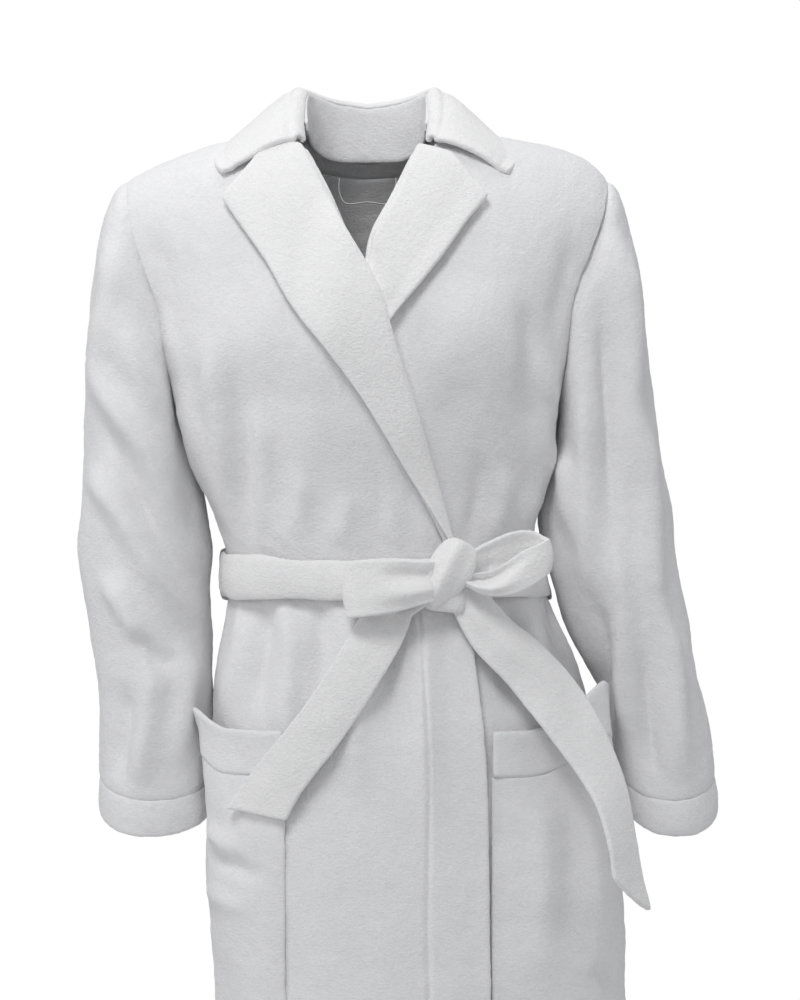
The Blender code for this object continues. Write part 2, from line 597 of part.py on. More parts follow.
def main():
    robe = cleared_scene()
    back_panel(robe)
    front_panel(robe, "right_front_panel", -1, OUTER_EDGE, outer_stand_off, 13)
    front_panel(robe, "left_front_panel", 1, INNER_EDGE, inner_stand_off, 13)
    front_facing(robe, "right_front_facing", OUTER_EDGE, 0.052, 0.008, FACING, -1, -0.175)
    front_facing(robe, "left_front_facing", INNER_EDGE, 0.052, 0.002, -0.0025, 1, -0.13)
    lapel(robe, "right_lapel", [(0.0770, -0.334)] + OUTER_EDGE[5:11] + [(-0.056, 0.022)], OUTER_LAPEL_EDGE,
          0.024, 0.45, 15)
    lapel(robe, "left_lapel", [(-0.009, -0.150)] + INNER_EDGE[4:8], INNER_LAPEL_EDGE,
          0.014, 0.5, 9)
    collar(robe)
    back_neck_facing(robe)
    sleeve(robe, "right", -1, RIGHT_SLEEVE)
    sleeve(robe, "left", 1, LEFT_SLEEVE)
    pocket(robe, "right", -1, -0.071)
    pocket(robe, "left", 1, 0.1235)
    belt_band(robe)
    belt_knot(robe)
    bow_loop(robe, "belt_right_bow_loop", (0.052, -0.372), (-0.019, -0.378), 0.034, 0.054)
    bow_loop(robe, "belt_left_bow_loop", (0.1225, -0.368), (0.173, -0.352), 0.034, 0.052)
    belt_tail(robe, "belt_right_tail",
              [(0.030, TAIL_TOP_Z), (-0.010, -0.468), (-0.060, -0.534), (-0.102, -0.590)],
              [0.058, 0.055, 0.055, 0.055], (-0.112, 0.2))
    belt_tail(robe, "belt_left_tail", [(0.117, TAIL_TOP_Z), (0.150, -0.457), (0.193, -0.507), (0.217, -0.547),
                                       (0.237, -0.60), (0.252, -0.662)],
              [0.042, 0.040, 0.038, 0.034, 0.028, 0.020], (-0.1, 0.188))
    belt_carrier(robe, "right_belt_carrier", -1)
    belt_carrier(robe, "left_belt_carrier", 1)
    hanging_loop(robe)
    bpy.context.view_layer.update()


main()
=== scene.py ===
"""Plush bathrobe, finished: cloth panels with folds and pile, seams, bow and stage.

Right and left are the wearer's. +X is the wearer's left, -Y the front, +Z up, lengths in metres.
"""

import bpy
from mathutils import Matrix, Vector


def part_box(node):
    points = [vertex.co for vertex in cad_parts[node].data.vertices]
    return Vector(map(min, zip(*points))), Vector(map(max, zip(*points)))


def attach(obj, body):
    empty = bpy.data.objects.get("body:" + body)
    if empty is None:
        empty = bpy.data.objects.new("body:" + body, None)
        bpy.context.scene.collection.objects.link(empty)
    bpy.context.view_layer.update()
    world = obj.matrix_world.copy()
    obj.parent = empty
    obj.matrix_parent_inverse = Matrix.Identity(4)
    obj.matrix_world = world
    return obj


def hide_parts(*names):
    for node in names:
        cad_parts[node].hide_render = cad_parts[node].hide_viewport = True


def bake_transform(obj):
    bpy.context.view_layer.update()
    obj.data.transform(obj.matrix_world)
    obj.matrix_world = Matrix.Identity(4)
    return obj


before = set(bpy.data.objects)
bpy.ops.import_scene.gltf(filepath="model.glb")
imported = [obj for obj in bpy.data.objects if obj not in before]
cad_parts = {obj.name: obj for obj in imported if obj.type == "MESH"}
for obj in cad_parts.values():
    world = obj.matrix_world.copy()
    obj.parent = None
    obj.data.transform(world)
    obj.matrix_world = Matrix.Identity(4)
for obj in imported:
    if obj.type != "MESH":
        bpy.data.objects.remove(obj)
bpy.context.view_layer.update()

import math

import bmesh
import bpy
import numpy as np
from bpy.props import FloatProperty, FloatVectorProperty, PointerProperty
from mathutils import Vector

bl_info = {
    "name": "Plush Bathrobe",
    "version": (1, 0, 0),
    "blender": (4, 5, 0),
    "location": "View3D > Sidebar > Robe",
    "description": "Builds the cloth, seams and bow of a plush bathrobe round its frame",
    "category": "Object",
}

GARMENT = "garment"

# ---- The body form that every layer of cloth stands off --------------------------------------
ARMPIT_Z = -0.21
HEM_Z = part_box("back_panel")[0][2]
SHOULDER_X = 0.2245
SHOULDER_RISE = 0.05
ARMHOLE_HALF_DEPTH = 0.062
ROUNDNESS = 2.3
NECK_HALF_WIDTH = 0.068
NECK_DEPTH = 0.055
BELT_TOP, BELT_BOTTOM = -0.3415, -0.3885
CUFF_SEAM_Z, CUFF_END_Z = -0.573, -0.607
POCKET_MOUTH_Z, POCKET_SEAM_Z, POCKET_END_Z = -0.505, -0.545, -0.775

# (height, amount) knots
CENTRE = [(-1.15, 0.040), (-0.756, 0.050), (-0.65, 0.045), (-0.44, 0.0265), (-0.34, 0.011),
          (ARMPIT_Z, 0.0), (0.0, 0.0)]
HALF_WIDTH = [(-1.15, 0.212), (-0.95, 0.198), (-0.756, 0.1865), (-0.65, 0.188), (-0.55, 0.180),
              (-0.44, 0.1635), (-0.40, 0.150), (-0.36, 0.1405), (-0.30, 0.150), (-0.26, 0.163),
              (ARMPIT_Z, 0.175), (-0.171, 0.182), (-0.124, 0.190), (-0.088, 0.203),
              (-0.047, 0.217), (0.0, SHOULDER_X)]
FRONT_DEPTH = [(-1.15, 0.150), (-0.756, 0.135), (-0.60, 0.130), (-0.45, 0.118), (-0.36, 0.104),
               (-0.30, 0.110), (-0.21, 0.130), (-0.15, 0.128), (-0.08, 0.118), (0.0, 0.112)]
BACK_DEPTH = [(-1.15, 0.150), (-0.756, 0.135), (-0.60, 0.133), (-0.50, 0.122), (-0.36, 0.086),
              (-0.21, 0.108), (-0.12, 0.114), (0.0, 0.110)]

# (x, height) knots of the free and rolled edges, from the hem up
OUTER_EDGE = [(0.111, HEM_Z), (0.110, -0.70), (0.104, -0.509), (0.0965, -0.444), (0.081, -0.367),
              (0.068, -0.296), (0.050, -0.228), (0.0285, -0.163), (0.012, -0.108),
              (-0.0175, -0.055), (-0.0377, -0.012), (-0.058, 0.029), (-0.068, 0.0454)]
INNER_EDGE = [(-0.062, HEM_Z), (-0.055, -0.60), (-0.045, -0.34), (-0.022, -0.20), (0.0, -0.10),
              (0.007, -0.057), (0.025, -0.021), (0.043, 0.018), (0.068, 0.0454)]
OUTER_LAPEL_EDGE = [(0.0735, -0.338), (0.031, -0.259), (0.0138, -0.23), (-0.0285, -0.171),
                    (-0.0616, -0.128), (-0.088, -0.084), (-0.112, -0.0506), (-0.130, -0.025)]
INNER_LAPEL_EDGE = [(0.006, -0.160), (0.029, -0.128), (0.047, -0.106), (0.070, -0.077),
                    (0.094, -0.043), (0.1095, -0.025)]
COLLAR_FOLD = [(0.0, 0.064, 0.086), (0.034, 0.056, 0.090), (0.0600, 0.028, 0.0955),
               (0.0645, -0.006, 0.0900), (0.0640, -0.034, 0.066), (0.0590, -0.060, 0.040)]
COLLAR_EDGE = [(0.0, 0.094, 0.010), (0.060, 0.089, 0.014), (0.112, 0.060, 0.028),
               (0.131, 0.010, 0.037), (0.142, -0.040, 0.024), (0.1430, -0.078, 0.001)]

# (height, centre x, half width) of each sleeve
RIGHT_SLEEVE = [(-0.26, -0.2140, 0.0500), (-0.30, -0.2110, 0.0555), (-0.343, -0.2095, 0.0608),
                (-0.367, -0.2085, 0.0590), (-0.39, -0.2065, 0.0570), (-0.414, -0.2045, 0.0553),
                (-0.438, -0.2020, 0.0535), (-0.485, -0.1980, 0.0517), (-0.54, -0.1975, 0.0530),
                (CUFF_END_Z, -0.1985, 0.0520)]
LEFT_SLEEVE = [(-0.26, 0.2235, 0.0510), (-0.296, 0.2240, 0.0595), (-0.343, 0.2285, 0.0605),
               (-0.39, 0.2395, 0.0568), (-0.414, 0.2460, 0.0543), (-0.462, 0.2600, 0.0485),
               (-0.509, 0.2710, 0.0458), (-0.556, 0.2800, 0.0440), (CUFF_END_Z, 0.2870, 0.0420)]
SLEEVE_HALF_DEPTH = [(-0.607, 0.062), (-0.44, 0.066), (-0.26, 0.070)]
SLEEVE_CENTRE_Y = 0.006
# By side: how far a sleeve's top runs out and down from the armhole, and how far in it ends
SLEEVE_LEAD = {-1: (0.019, 0.016, 0.0), 1: (0.010, 0.010, -0.0165)}
SLEEVE_TURNS = 88
# The direction and the two distances from the origin of the span handed to bent() for each sleeve
BEND_OUT, BEND_DOWN = 0.75, -0.6614
BEND_START, BEND_END = 0.271, 0.420

# Soft folds, each (x, height, x, height, half width, rise): a rounded ridge, or a groove where
# the rise is negative, along a line seen from the front
RIGHT_FRONT_FOLDS = [
    (-0.140, -0.150, -0.118, -0.335, 0.012, 0.0045), (-0.118, -0.170, -0.100, -0.335, 0.009, -0.003),
    (-0.098, -0.215, -0.086, -0.335, 0.010, 0.003), (-0.060, -0.270, -0.055, -0.336, 0.009, 0.0025),
    (-0.020, -0.290, -0.016, -0.336, 0.008, 0.002), (-0.170, -0.190, -0.140, -0.300, 0.010, 0.004),
    (-0.110, -0.395, -0.118, -0.500, 0.011, 0.004), (-0.088, -0.395, -0.092, -0.490, 0.008, -0.003),
    (-0.066, -0.392, -0.064, -0.520, 0.010, 0.0035), (-0.040, -0.392, -0.034, -0.470, 0.008, -0.0025),
    (-0.012, -0.392, -0.004, -0.560, 0.011, 0.0035), (0.018, -0.392, 0.028, -0.520, 0.009, -0.003),
    (0.045, -0.395, 0.060, -0.600, 0.012, 0.003), (-0.125, -0.090, -0.070, -0.215, 0.016, -0.002),
    (-0.190, -0.060, -0.170, -0.150, 0.010, -0.0025)]
LEFT_FRONT_FOLDS = [
    (0.136, -0.120, 0.150, -0.235, 0.011, -0.004), (0.155, -0.165, 0.163, -0.275, 0.010, 0.004),
    (0.166, -0.240, 0.140, -0.330, 0.010, 0.0045), (0.120, -0.270, 0.118, -0.337, 0.009, 0.003),
    (0.100, -0.255, 0.098, -0.337, 0.008, -0.0025), (0.140, -0.395, 0.160, -0.470, 0.010, 0.004),
    (0.120, -0.395, 0.132, -0.480, 0.008, -0.003), (0.160, -0.395, 0.190, -0.480, 0.009, -0.003),
    (0.090, -0.150, 0.075, -0.250, 0.018, -0.0015), (0.185, -0.060, 0.168, -0.150, 0.010, -0.003)]


def eased(place, knots):
    """A smooth cubic through (place, amount) knots: Hermite, with slopes by central difference."""
    places = np.array([k[0] for k in knots], float)
    amounts = np.array([k[1] for k in knots], float)
    slopes = np.gradient(amounts, places)
    place = np.clip(place, places[0], places[-1])
    i = np.clip(np.searchsorted(places, place) - 1, 0, len(places) - 2)
    span = places[i + 1] - places[i]
    t = (place - places[i]) / span
    low = (1 + 2 * t) * (1 - t) ** 2 * amounts[i] + t * (1 - t) ** 2 * span * slopes[i]
    high = t * t * (3 - 2 * t) * amounts[i + 1] + t * t * (t - 1) * span * slopes[i + 1]
    return low + high


def ramp(value, start, end):
    """0 before start, 1 after end, 3t^2 - 2t^3 between them."""
    t = np.clip((value - start) / (end - start), 0.0, 1.0)
    return t * t * (3 - 2 * t)


def shoulder_line(x):
    """Height of the shoulder seam: 1 - u^2.6 over the shoulders, and fuller on the wearer's left."""
    u = np.clip(np.abs(x) / SHOULDER_X, 0.0, 1.0)
    fuller = 0.026 * (x > 0) * u ** 4 * (1 - u ** 8)
    return SHOULDER_RISE * (1 - u ** 2.6) + fuller


def row_of(x, z):
    """The row through a point seen from the front: its height, up to the armpit, and above it the
    height at the armhole's edge of the curve that bends to follow the shoulder seam."""
    share = (z - ARMPIT_Z) / (shoulder_line(x) - ARMPIT_Z)
    return np.where(z < ARMPIT_Z, z, ARMPIT_Z * (1 - np.minimum(share, 1.0)))


def section(row, depths):
    """Centre, half width, depth and armhole edge of the body at a row. Sections are
    superellipses, and their depth falls as the root of 1 - share^3 up to the shoulder seam."""
    share = np.clip((row - ARMPIT_Z) / -ARMPIT_Z, 0.0, 1.0)
    depth = eased(row, depths) * np.sqrt(np.maximum(1 - share ** 3, 1e-9))
    edge = ARMHOLE_HALF_DEPTH * np.sqrt(np.clip(1 - (2 * share - 1) ** 2, 0.0, 1.0))
    edge = np.where(share > 0, edge, 0.0)
    within = (1 - np.minimum(edge / depth, 0.98) ** ROUNDNESS) ** (1 / ROUNDNESS)
    return eased(row, CENTRE), eased(row, HALF_WIDTH) / within, depth, edge


def body_grid(rows, turns, depths, side):
    """Points of the body form: x = centre + half width cos^p, y = depth sin^p of the turn, where
    p is 2 over the superellipse's exponent. side is -1 for the front and 1 for the back."""
    centre, half, depth, _ = section(rows, depths)
    power = 2 / ROUNDNESS
    x = centre + half * np.sign(np.cos(turns)) * np.abs(np.cos(turns)) ** power
    y = side * depth * np.abs(np.sin(turns)) ** power
    share = np.clip((rows - ARMPIT_Z) / -ARMPIT_Z, 0.0, 1.0)
    z = np.where(rows < ARMPIT_Z, rows, ARMPIT_Z + share * (shoulder_line(x) - ARMPIT_Z))
    return np.stack([x, y, z], axis=-1)


def turn_at_x(rows, x, depths):
    """The turn at which a row has this x: the inverse of body_grid's x."""
    centre, half, _, _ = section(rows, depths)
    across = np.clip((x - centre) / half, -1.0, 1.0)
    return np.arccos(np.sign(across) * np.abs(across) ** (ROUNDNESS / 2))


def turn_at_edge(rows, depths):
    """The turn, from the side, at which a row meets the armhole or the side seam."""
    _, _, depth, edge = section(rows, depths)
    return np.arcsin(np.clip(edge / depth, 0.0, 1.0) ** (ROUNDNESS / 2))


def front_y(x, z):
    """y of the body form's front at a point seen from the front."""
    centre, half, depth, _ = section(row_of(x, z), FRONT_DEPTH)
    across = np.clip(np.abs(x - centre) / half, 0.0, 1.0)
    return -depth * (1 - across ** ROUNDNESS) ** (1 / ROUNDNESS)


def edge_x(rows, knots):
    """x of a front's free edge at each row."""
    return eased(rows, sorted((float(row_of(x, z)), x) for x, z in knots))


def grid_normals(points, outward=None):
    """Unit normals of a grid, by the cross product of its differences, facing outward."""
    normal = np.cross(np.gradient(points, axis=0), np.gradient(points, axis=1))
    normal /= np.maximum(np.linalg.norm(normal, axis=-1, keepdims=True), 1e-12)
    away = points * (1.0, 1.0, 0.0) if outward is None else outward
    return -normal if np.sum(normal * away) < 0 else normal


def stood_off(points, distance, outward=None):
    """A grid moved along its own normals by a distance at each point."""
    return points + grid_normals(points, outward) * np.asarray(distance)[..., None]


def measured(knots, axis):
    """Knots as (share of the whole length, one coordinate)."""
    places = np.array(knots, float)
    steps = np.linalg.norm(np.diff(places, axis=0), axis=1)
    share = np.concatenate([[0], np.cumsum(steps)]) / steps.sum()
    return list(zip(share, places[:, axis]))


def along_line(knots, shares):
    """Points of a smooth line through knots, at shares of its length."""
    return np.stack([eased(shares, measured(knots, axis)) for axis in range(len(knots[0]))], axis=-1)


def value_noise(points, scale, seed=0.0):
    """Smooth noise from -1 to 1: random values at the corners of a lattice of cells one scale
    wide, mixed by a smooth step in each direction."""
    p = np.asarray(points, float) / scale + seed * 17.17
    cell = np.floor(p)
    t = p - cell
    t = t * t * (3 - 2 * t)
    total = np.zeros(p.shape[:-1])
    for corner in np.ndindex(2, 2, 2):
        at = cell + corner
        mixed = np.sin(at @ np.array([12.9898, 78.233, 37.719])) * 43758.5453
        weight = np.prod(np.where(np.array(corner) == 1, t, 1 - t), axis=-1)
        total += (mixed - np.floor(mixed)) * weight
    return 2 * total - 1


FOLD_STRENGTH = 2.4
FINE_LUMPS, COARSE_LUMPS = 0.0024, 0.0050


def fold_height(x, z, folds):
    """Rises of all folds at a point: each a Gaussian across its line that fades at its ends."""
    total = np.zeros(np.broadcast(x, z).shape)
    for x0, z0, x1, z1, width, rise in folds:
        run = np.array([x1 - x0, z1 - z0])
        length = np.hypot(*run)
        along = ((x - x0) * run[0] + (z - z0) * run[1]) / length ** 2
        off = ((x - x0) * run[1] - (z - z0) * run[0]) / length
        off = off + 0.25 * width * np.sin(6.0 * along)
        fade = ramp(along, -0.12, 0.25) * (1 - ramp(along, 0.6, 1.15))
        total += FOLD_STRENGTH * rise * np.exp(-(off / width) ** 2) * fade
    return total


def gathers(points, side):
    """Small pleats where the belt draws the cloth in, fanning out above and below it."""
    x, y, z = points[..., 0], points[..., 1], points[..., 2]
    turn = np.arctan2(y * 1.3, x - 0.014)
    below = np.exp(-np.maximum(BELT_BOTTOM - z, 0) / 0.055) * (z < BELT_BOTTOM + 0.02)
    above = np.exp(-np.maximum(z - BELT_TOP, 0) / 0.035) * (z > BELT_TOP - 0.02)
    under = (z < BELT_TOP + 0.004) * (z > BELT_BOTTOM - 0.004)
    wave = np.sin(turn * 23 + 2.2 * np.sin(turn * 5 + side)) + 0.5 * np.sin(turn * 37 + 1.0)
    return 0.0016 * wave * np.maximum(below, above) * (1 - 0.8 * under)


def drape(points, seed):
    """Gentle unevenness of hanging cloth: broad upright waves that grow towards the hem."""
    x, y, z = points[..., 0], points[..., 1], points[..., 2]
    turn = np.arctan2(y, x - 0.04)
    low = ramp(-z, 0.55, 1.15)
    flute = np.sin(turn * 9 + seed) + 0.6 * np.sin(turn * 15 + 2 * seed)
    soft = value_noise(points * (1.0, 1.0, 0.45), 0.055, seed)
    broad = value_noise(points * (1.0, 1.0, 0.6), 0.12, seed + 3)
    return 0.0045 * low * flute + 0.0016 * soft + 0.0022 * broad


# ---- Pieces ----------------------------------------------------------------------------------
def grid_mesh(name, points, closed, flip):
    """A sheet over a grid of points, with its UV map in metres of cloth: running lengths across
    and along the middle of the grid."""
    rows, columns = points.shape[:2]
    index = np.arange(rows * columns).reshape(rows, columns)
    if closed:
        index = np.concatenate([index, index[:, :1]], axis=1)
        points_uv = np.concatenate([points, points[:, :1]], axis=1)
    else:
        points_uv = points
    across = np.linalg.norm(np.diff(points_uv, axis=1), axis=-1)
    along = np.linalg.norm(np.diff(points_uv, axis=0), axis=-1)
    u = np.concatenate([np.zeros((rows, 1)), np.cumsum(across, axis=1)], axis=1)
    v = np.concatenate([np.zeros((1, u.shape[1])), np.cumsum(along, axis=0)], axis=0)
    corners = [(0, 0), (1, 0), (1, 1), (0, 1)]
    corners = corners[::-1] if flip else corners
    height, width = index.shape[0] - 1, index.shape[1] - 1
    quads = np.stack([index[a:a + height, b:b + width] for a, b in corners], axis=-1)
    uv = np.stack([np.stack([u[a:a + height, b:b + width], v[a:a + height, b:b + width]], axis=-1)
                   for a, b in corners], axis=-2)
    mesh = bpy.data.meshes.new(name)
    mesh.from_pydata(points.reshape(-1, 3), [], quads.reshape(-1, 4))
    layer = mesh.uv_layers.new(name="cloth")
    layer.data.foreach_set("uv", uv.reshape(-1).astype(np.float32))
    return mesh


def linked(name, mesh, finish):
    """Puts a finished mesh into the scene with its material in its one material slot."""
    piece = bpy.data.objects.new(name, mesh)
    bpy.context.scene.collection.objects.link(piece)
    mesh.materials.clear()
    mesh.materials.append(finish)
    mesh.shade_smooth()
    return piece


def cloth(name, points, thickness, finish, slot="plush", closed=False, outward=None, pile=0.0004,
          seed=1.0):
    """A sheet of plush: the grid is its face, Solidify gives it a back, Subdivision rounds its
    edges, and its pile is raised by fine noise along the normals."""
    plain = np.cross(np.gradient(points, axis=0), np.gradient(points, axis=1))
    away = points * (1.0, 1.0, 0.0) if outward is None else outward
    mesh = grid_mesh(name, points, closed, np.sum(plain * away) < 0)
    rough = bpy.data.objects.new(name + "_rough", mesh)
    bpy.context.scene.collection.objects.link(rough)
    wall = rough.modifiers.new("thickness", "SOLIDIFY")
    wall.thickness = thickness
    wall.offset = -1.0
    fluffy = slot == "fluffy_plush"
    smooth = rough.modifiers.new("rounding", "SUBSURF")
    smooth.levels = smooth.render_levels = 2 if fluffy else 1
    done = evaluated(rough, name)
    raise_pile(done, pile, seed, FINE_LUMPS if fluffy else COARSE_LUMPS)
    return linked(name, done, finish)


def evaluated(rough, name):
    """The mesh of an object with its modifiers applied. The object is removed."""
    bpy.context.view_layer.update()
    done = bpy.data.meshes.new_from_object(rough.evaluated_get(bpy.context.evaluated_depsgraph_get()))
    bpy.data.objects.remove(rough)
    done.name = name
    return done


def joined(shapes, name):
    """One mesh from several, with their open rims closed by flat caps."""
    work = bmesh.new()
    for shape in shapes:
        work.from_mesh(shape)
    bmesh.ops.holes_fill(work, edges=[edge for edge in work.edges if edge.is_boundary])
    bmesh.ops.recalc_face_normals(work, faces=work.faces)
    mesh = bpy.data.meshes.new(name)
    work.to_mesh(mesh)
    work.free()
    return mesh


def raise_pile(mesh, height, seed, fineness):
    """Moves every vertex along its normal by three sizes of noise, for clumps of pile, and keeps
    the place of each vertex for the finishes."""
    count = len(mesh.vertices)
    places, normals = np.empty(count * 3, np.float32), np.empty(count * 3, np.float32)
    mesh.vertices.foreach_get("co", places)
    mesh.vertex_normals.foreach_get("vector", normals)
    places, normals = places.reshape(-1, 3), normals.reshape(-1, 3)
    lumps = (0.9 * value_noise(places, fineness, seed) + 0.7 * value_noise(places, 2.2 * fineness, seed + 1)
             + 0.6 * value_noise(places, 6 * fineness, seed + 2))
    moved = places + normals * (height * lumps)[:, None]
    mesh.vertices.foreach_set("co", moved.astype(np.float32).ravel())
    place = mesh.attributes.new("rest_place", "FLOAT_VECTOR", "POINT")
    place.data.foreach_set("vector", moved.astype(np.float32).ravel())
    mesh.update()


BUST = [(-0.088, -0.150, 0.052, 0.056, 0.017), (0.096, -0.158, 0.050, 0.056, 0.016)]


def bust_height(x, z):
    """Two soft mounds at the chest: rounded above and steeper below, at (x, height, half width,
    half height, rise)."""
    total = np.zeros(np.broadcast(x, z).shape)
    for middle_x, middle_z, wide, tall, rise in BUST:
        drop = np.where(z < middle_z, 0.78, 1.25) * tall
        total += rise * np.exp(-((x - middle_x) / wide) ** 2 - ((z - middle_z) / drop) ** 2)
    return total


# ---- Layers over the body form: how far the outer face of each stands off --------------------
SEAM_LAP = 0.0025
FACING_WIDTH = 0.050
SKIRT_FRONT_WIDTH = 0.36
INNER_FACE = 0.0036
OUTER_OVER_INNER = 0.0068
OVER_INNER_LAPEL = 0.0062
FACING_FACE = 0.0062
SPACING = 0.008


def relief(points, rows, turns):
    """Folds, gathers and drape that every layer of the front shares, fading at the side seams."""
    x, z = points[..., 0], points[..., 2]
    facing = ramp(np.sin(turns), 0.05, 0.38)
    folds = fold_height(x, z, RIGHT_FRONT_FOLDS + LEFT_FRONT_FOLDS)
    seam = 1 - ramp(rows, -0.05, 0.0)
    return (folds * facing + gathers(points, 0.0) + drape(points, 1.0) + bust_height(x, z)) * seam


def outer_face(x, rows):
    """How far the overlapping front stands off: flat at its side, then over the front beneath
    it, and higher where it also covers the inner lapel."""
    past = x - edge_x(rows, INNER_EDGE)
    rise = OUTER_OVER_INNER + OVER_INNER_LAPEL * ramp(rows, -0.215, -0.150)
    return INNER_FACE + rise * ramp(past, -0.065, -0.012)


def inner_face(x, rows):
    """The front beneath lies on the body form."""
    return INNER_FACE + 0 * x


def panel_rows():
    """Rows of a panel up to the shoulder seam: even up to the armpit, then even in share, then
    even in the depth that is left."""
    below = np.linspace(HEM_Z, ARMPIT_Z, int((ARMPIT_Z - HEM_Z) / SPACING) + 1)
    share = np.linspace(0.0, 0.62, 18)[1:]
    left = np.concatenate([np.linspace(0.84, 0.06, 16), [0.02]])
    return np.concatenate([below, ARMPIT_Z * (1 - share),
                           ARMPIT_Z * (1 - (1 - left ** 2) ** (1 / 3))])[:, None]


def seam_dip(out, width=0.035):
    """A shallow dip where a panel is sewn into the armhole or side seam."""
    return -0.0010 * np.exp(-(out / width) ** 2)


def lapped(points, toward):
    """Carries a panel's edges a little past the side and shoulder seams, so that they close."""
    for edge in (points[-1], points[:, 0], points[:, -1]):
        edge[:, 1] = np.where(np.abs(edge[:, 1]) < 0.012, SEAM_LAP * toward, edge[:, 1])
    return points


def front_points(side, knots, face, columns):
    """Points of one front's face, from its side seam and armhole to its free edge."""
    rows = panel_rows()
    edge = turn_at_edge(rows, FRONT_DEPTH)
    start = np.pi - edge if side < 0 else edge
    lapel_from = -0.345 if side < 0 else -0.165
    held_back = side * 0.0105 * ramp(rows, lapel_from, lapel_from + 0.02)
    end = turn_at_x(rows, edge_x(rows, knots) + held_back, FRONT_DEPTH)
    near_stitch = 1 - (FACING_WIDTH + np.linspace(-0.0060, 0.0060, 9)) / SKIRT_FRONT_WIDTH
    out = np.unique(np.concatenate([np.linspace(0, 1, columns), near_stitch]))[None, :]
    turns = start + (end - start) * out
    points = body_grid(rows, turns, FRONT_DEPTH, -1)
    stand = face(points[..., 0], rows) + relief(points, rows + 0 * turns, turns) + seam_dip(out)
    swell = 0.0016 * np.exp(-((1 - out) / 0.022) ** 2)
    from_stitch = (1 - out) * SKIRT_FRONT_WIDTH - FACING_WIDTH
    stitch = -0.0027 * np.exp(-(from_stitch / 0.0016) ** 2) * (rows < -0.40)
    return lapped(stood_off(points, stand + swell + stitch), 1)


def neck_cut(points, rows, turns):
    """Lowers the rows near the top so that the last one follows the neck seam: an ellipse in plan
    of NECK_HALF_WIDTH by NECK_DEPTH."""
    share = np.clip((rows - ARMPIT_Z) / -ARMPIT_Z, 0.0, 1.0)
    for _ in range(4):
        x = points[..., 0]
        neck = NECK_DEPTH * np.sqrt(np.clip(1 - (x / NECK_HALF_WIDTH) ** 2, 0.0, 1.0))
        centre, half, _, _ = section(rows, BACK_DEPTH)
        across = np.clip(np.abs(x - centre) / half, 0.0, 0.999)
        full = eased(rows, BACK_DEPTH) * (1 - across ** ROUNDNESS) ** (1 / ROUNDNESS)
        left = np.clip(neck / full, 0.0, 0.999)
        top = (1 - left ** 2) ** (1 / 3)
        lowered = ARMPIT_Z * (1 - share * np.where(share > 0, top, 1.0))
        points = body_grid(np.where(rows < ARMPIT_Z, rows, lowered), turns, BACK_DEPTH, 1)
    return points


def back_points():
    """Points of the back's face: the body form's back, cut out for the neck and moved out by its
    layer, its gathers and its drape."""
    rows = panel_rows()
    edge = turn_at_edge(rows, BACK_DEPTH)
    out = np.linspace(0, 1, 66)[None, :]
    turns = edge + (np.pi - 2 * edge) * out
    points = neck_cut(body_grid(rows, turns, BACK_DEPTH, 1), rows, turns)
    seam = 1 - ramp(rows, -0.05, 0.0)
    stand = INNER_FACE + (gathers(points, 2.0) + drape(points, 1.0)) * seam
    return lapped(stood_off(points, stand + seam_dip(out, 0.02) + seam_dip(1 - out, 0.02)), -1)


def facing_points(knots, width, inset, face, side, highest):
    """Points of the band sewn inside a front's free edge."""
    rows = np.linspace(HEM_Z + 0.004, highest, 110)[:, None]
    x = edge_x(rows, knots) + side * (inset + width * np.linspace(0, 1, 8)[None, :])
    z = rows + 0 * x
    points = np.stack([x, front_y(x, z), z], axis=-1)
    return stood_off(points, face + relief(points, z, turn_at_x(z, x, FRONT_DEPTH)))


def lapel_points(roll, edge, lift, notch, base, thickness):
    """A lapel: its profile starts behind the rolled edge, goes round it in a half circle and runs
    out flat to the free edge, where it lifts a little. Its top runs out to the notch."""
    along = np.linspace(0, 1, 62)
    fold, free = along_line(roll, along), along_line(edge, along)
    reach = free - fold
    wide = np.maximum(np.linalg.norm(reach, axis=1), 0.004)[:, None]
    angle = np.radians(np.linspace(-80, 90, 8))
    radius = thickness * 0.95
    round_out = (1 - np.cos(angle)) * np.minimum(radius / wide, 0.45)
    rest = round_out[:, -1:] + (1 - round_out[:, -1:]) * np.linspace(0, 1, 19)[None, 1:]
    out = np.concatenate([round_out, rest], axis=1)
    rise = np.concatenate([np.sin(angle) * radius - radius, np.zeros(18)])[None, :]
    flat = fold[:, None] + reach[:, None] * out[..., None]
    peak = np.interp(np.clip(out, 0, 1), [0, notch, 1], [0, lift, 0])
    flat[..., 1] += peak * ramp(along[:, None], 0.78, 1.0)
    x, z = flat[..., 0], flat[..., 1]
    points = np.stack([x, front_y(x, z), z], axis=-1)
    soft = 0.0022 * np.sin(np.pi * np.clip(out, 0, 1)) + 0.0030 * ramp(out, 0.7, 1.0)
    waves = 0.0016 * value_noise(points, 0.045, 4.0) + drape(points, 1.0) + bust_height(x, z)
    stand = base(x, row_of(x, z)) + thickness + 0.0022 + rise + soft + waves
    return stood_off(points, stand)


COLLAR_COUNT = 40
COLLAR_ROLL = 0.0085


def collar_line(knots, count):
    """A symmetric line through the knots, from the wearer's left front round the back."""
    half = along_line(knots, np.linspace(0, 1, count))
    return np.concatenate([half[:0:-1] * (-1, 1, 1), half])


def collar_outward(fold):
    """Level directions out of the neck at the fold line."""
    away = (fold + (0, 0.01, 0)) * (1, 1, 0)
    return away / np.linalg.norm(away, axis=1, keepdims=True)


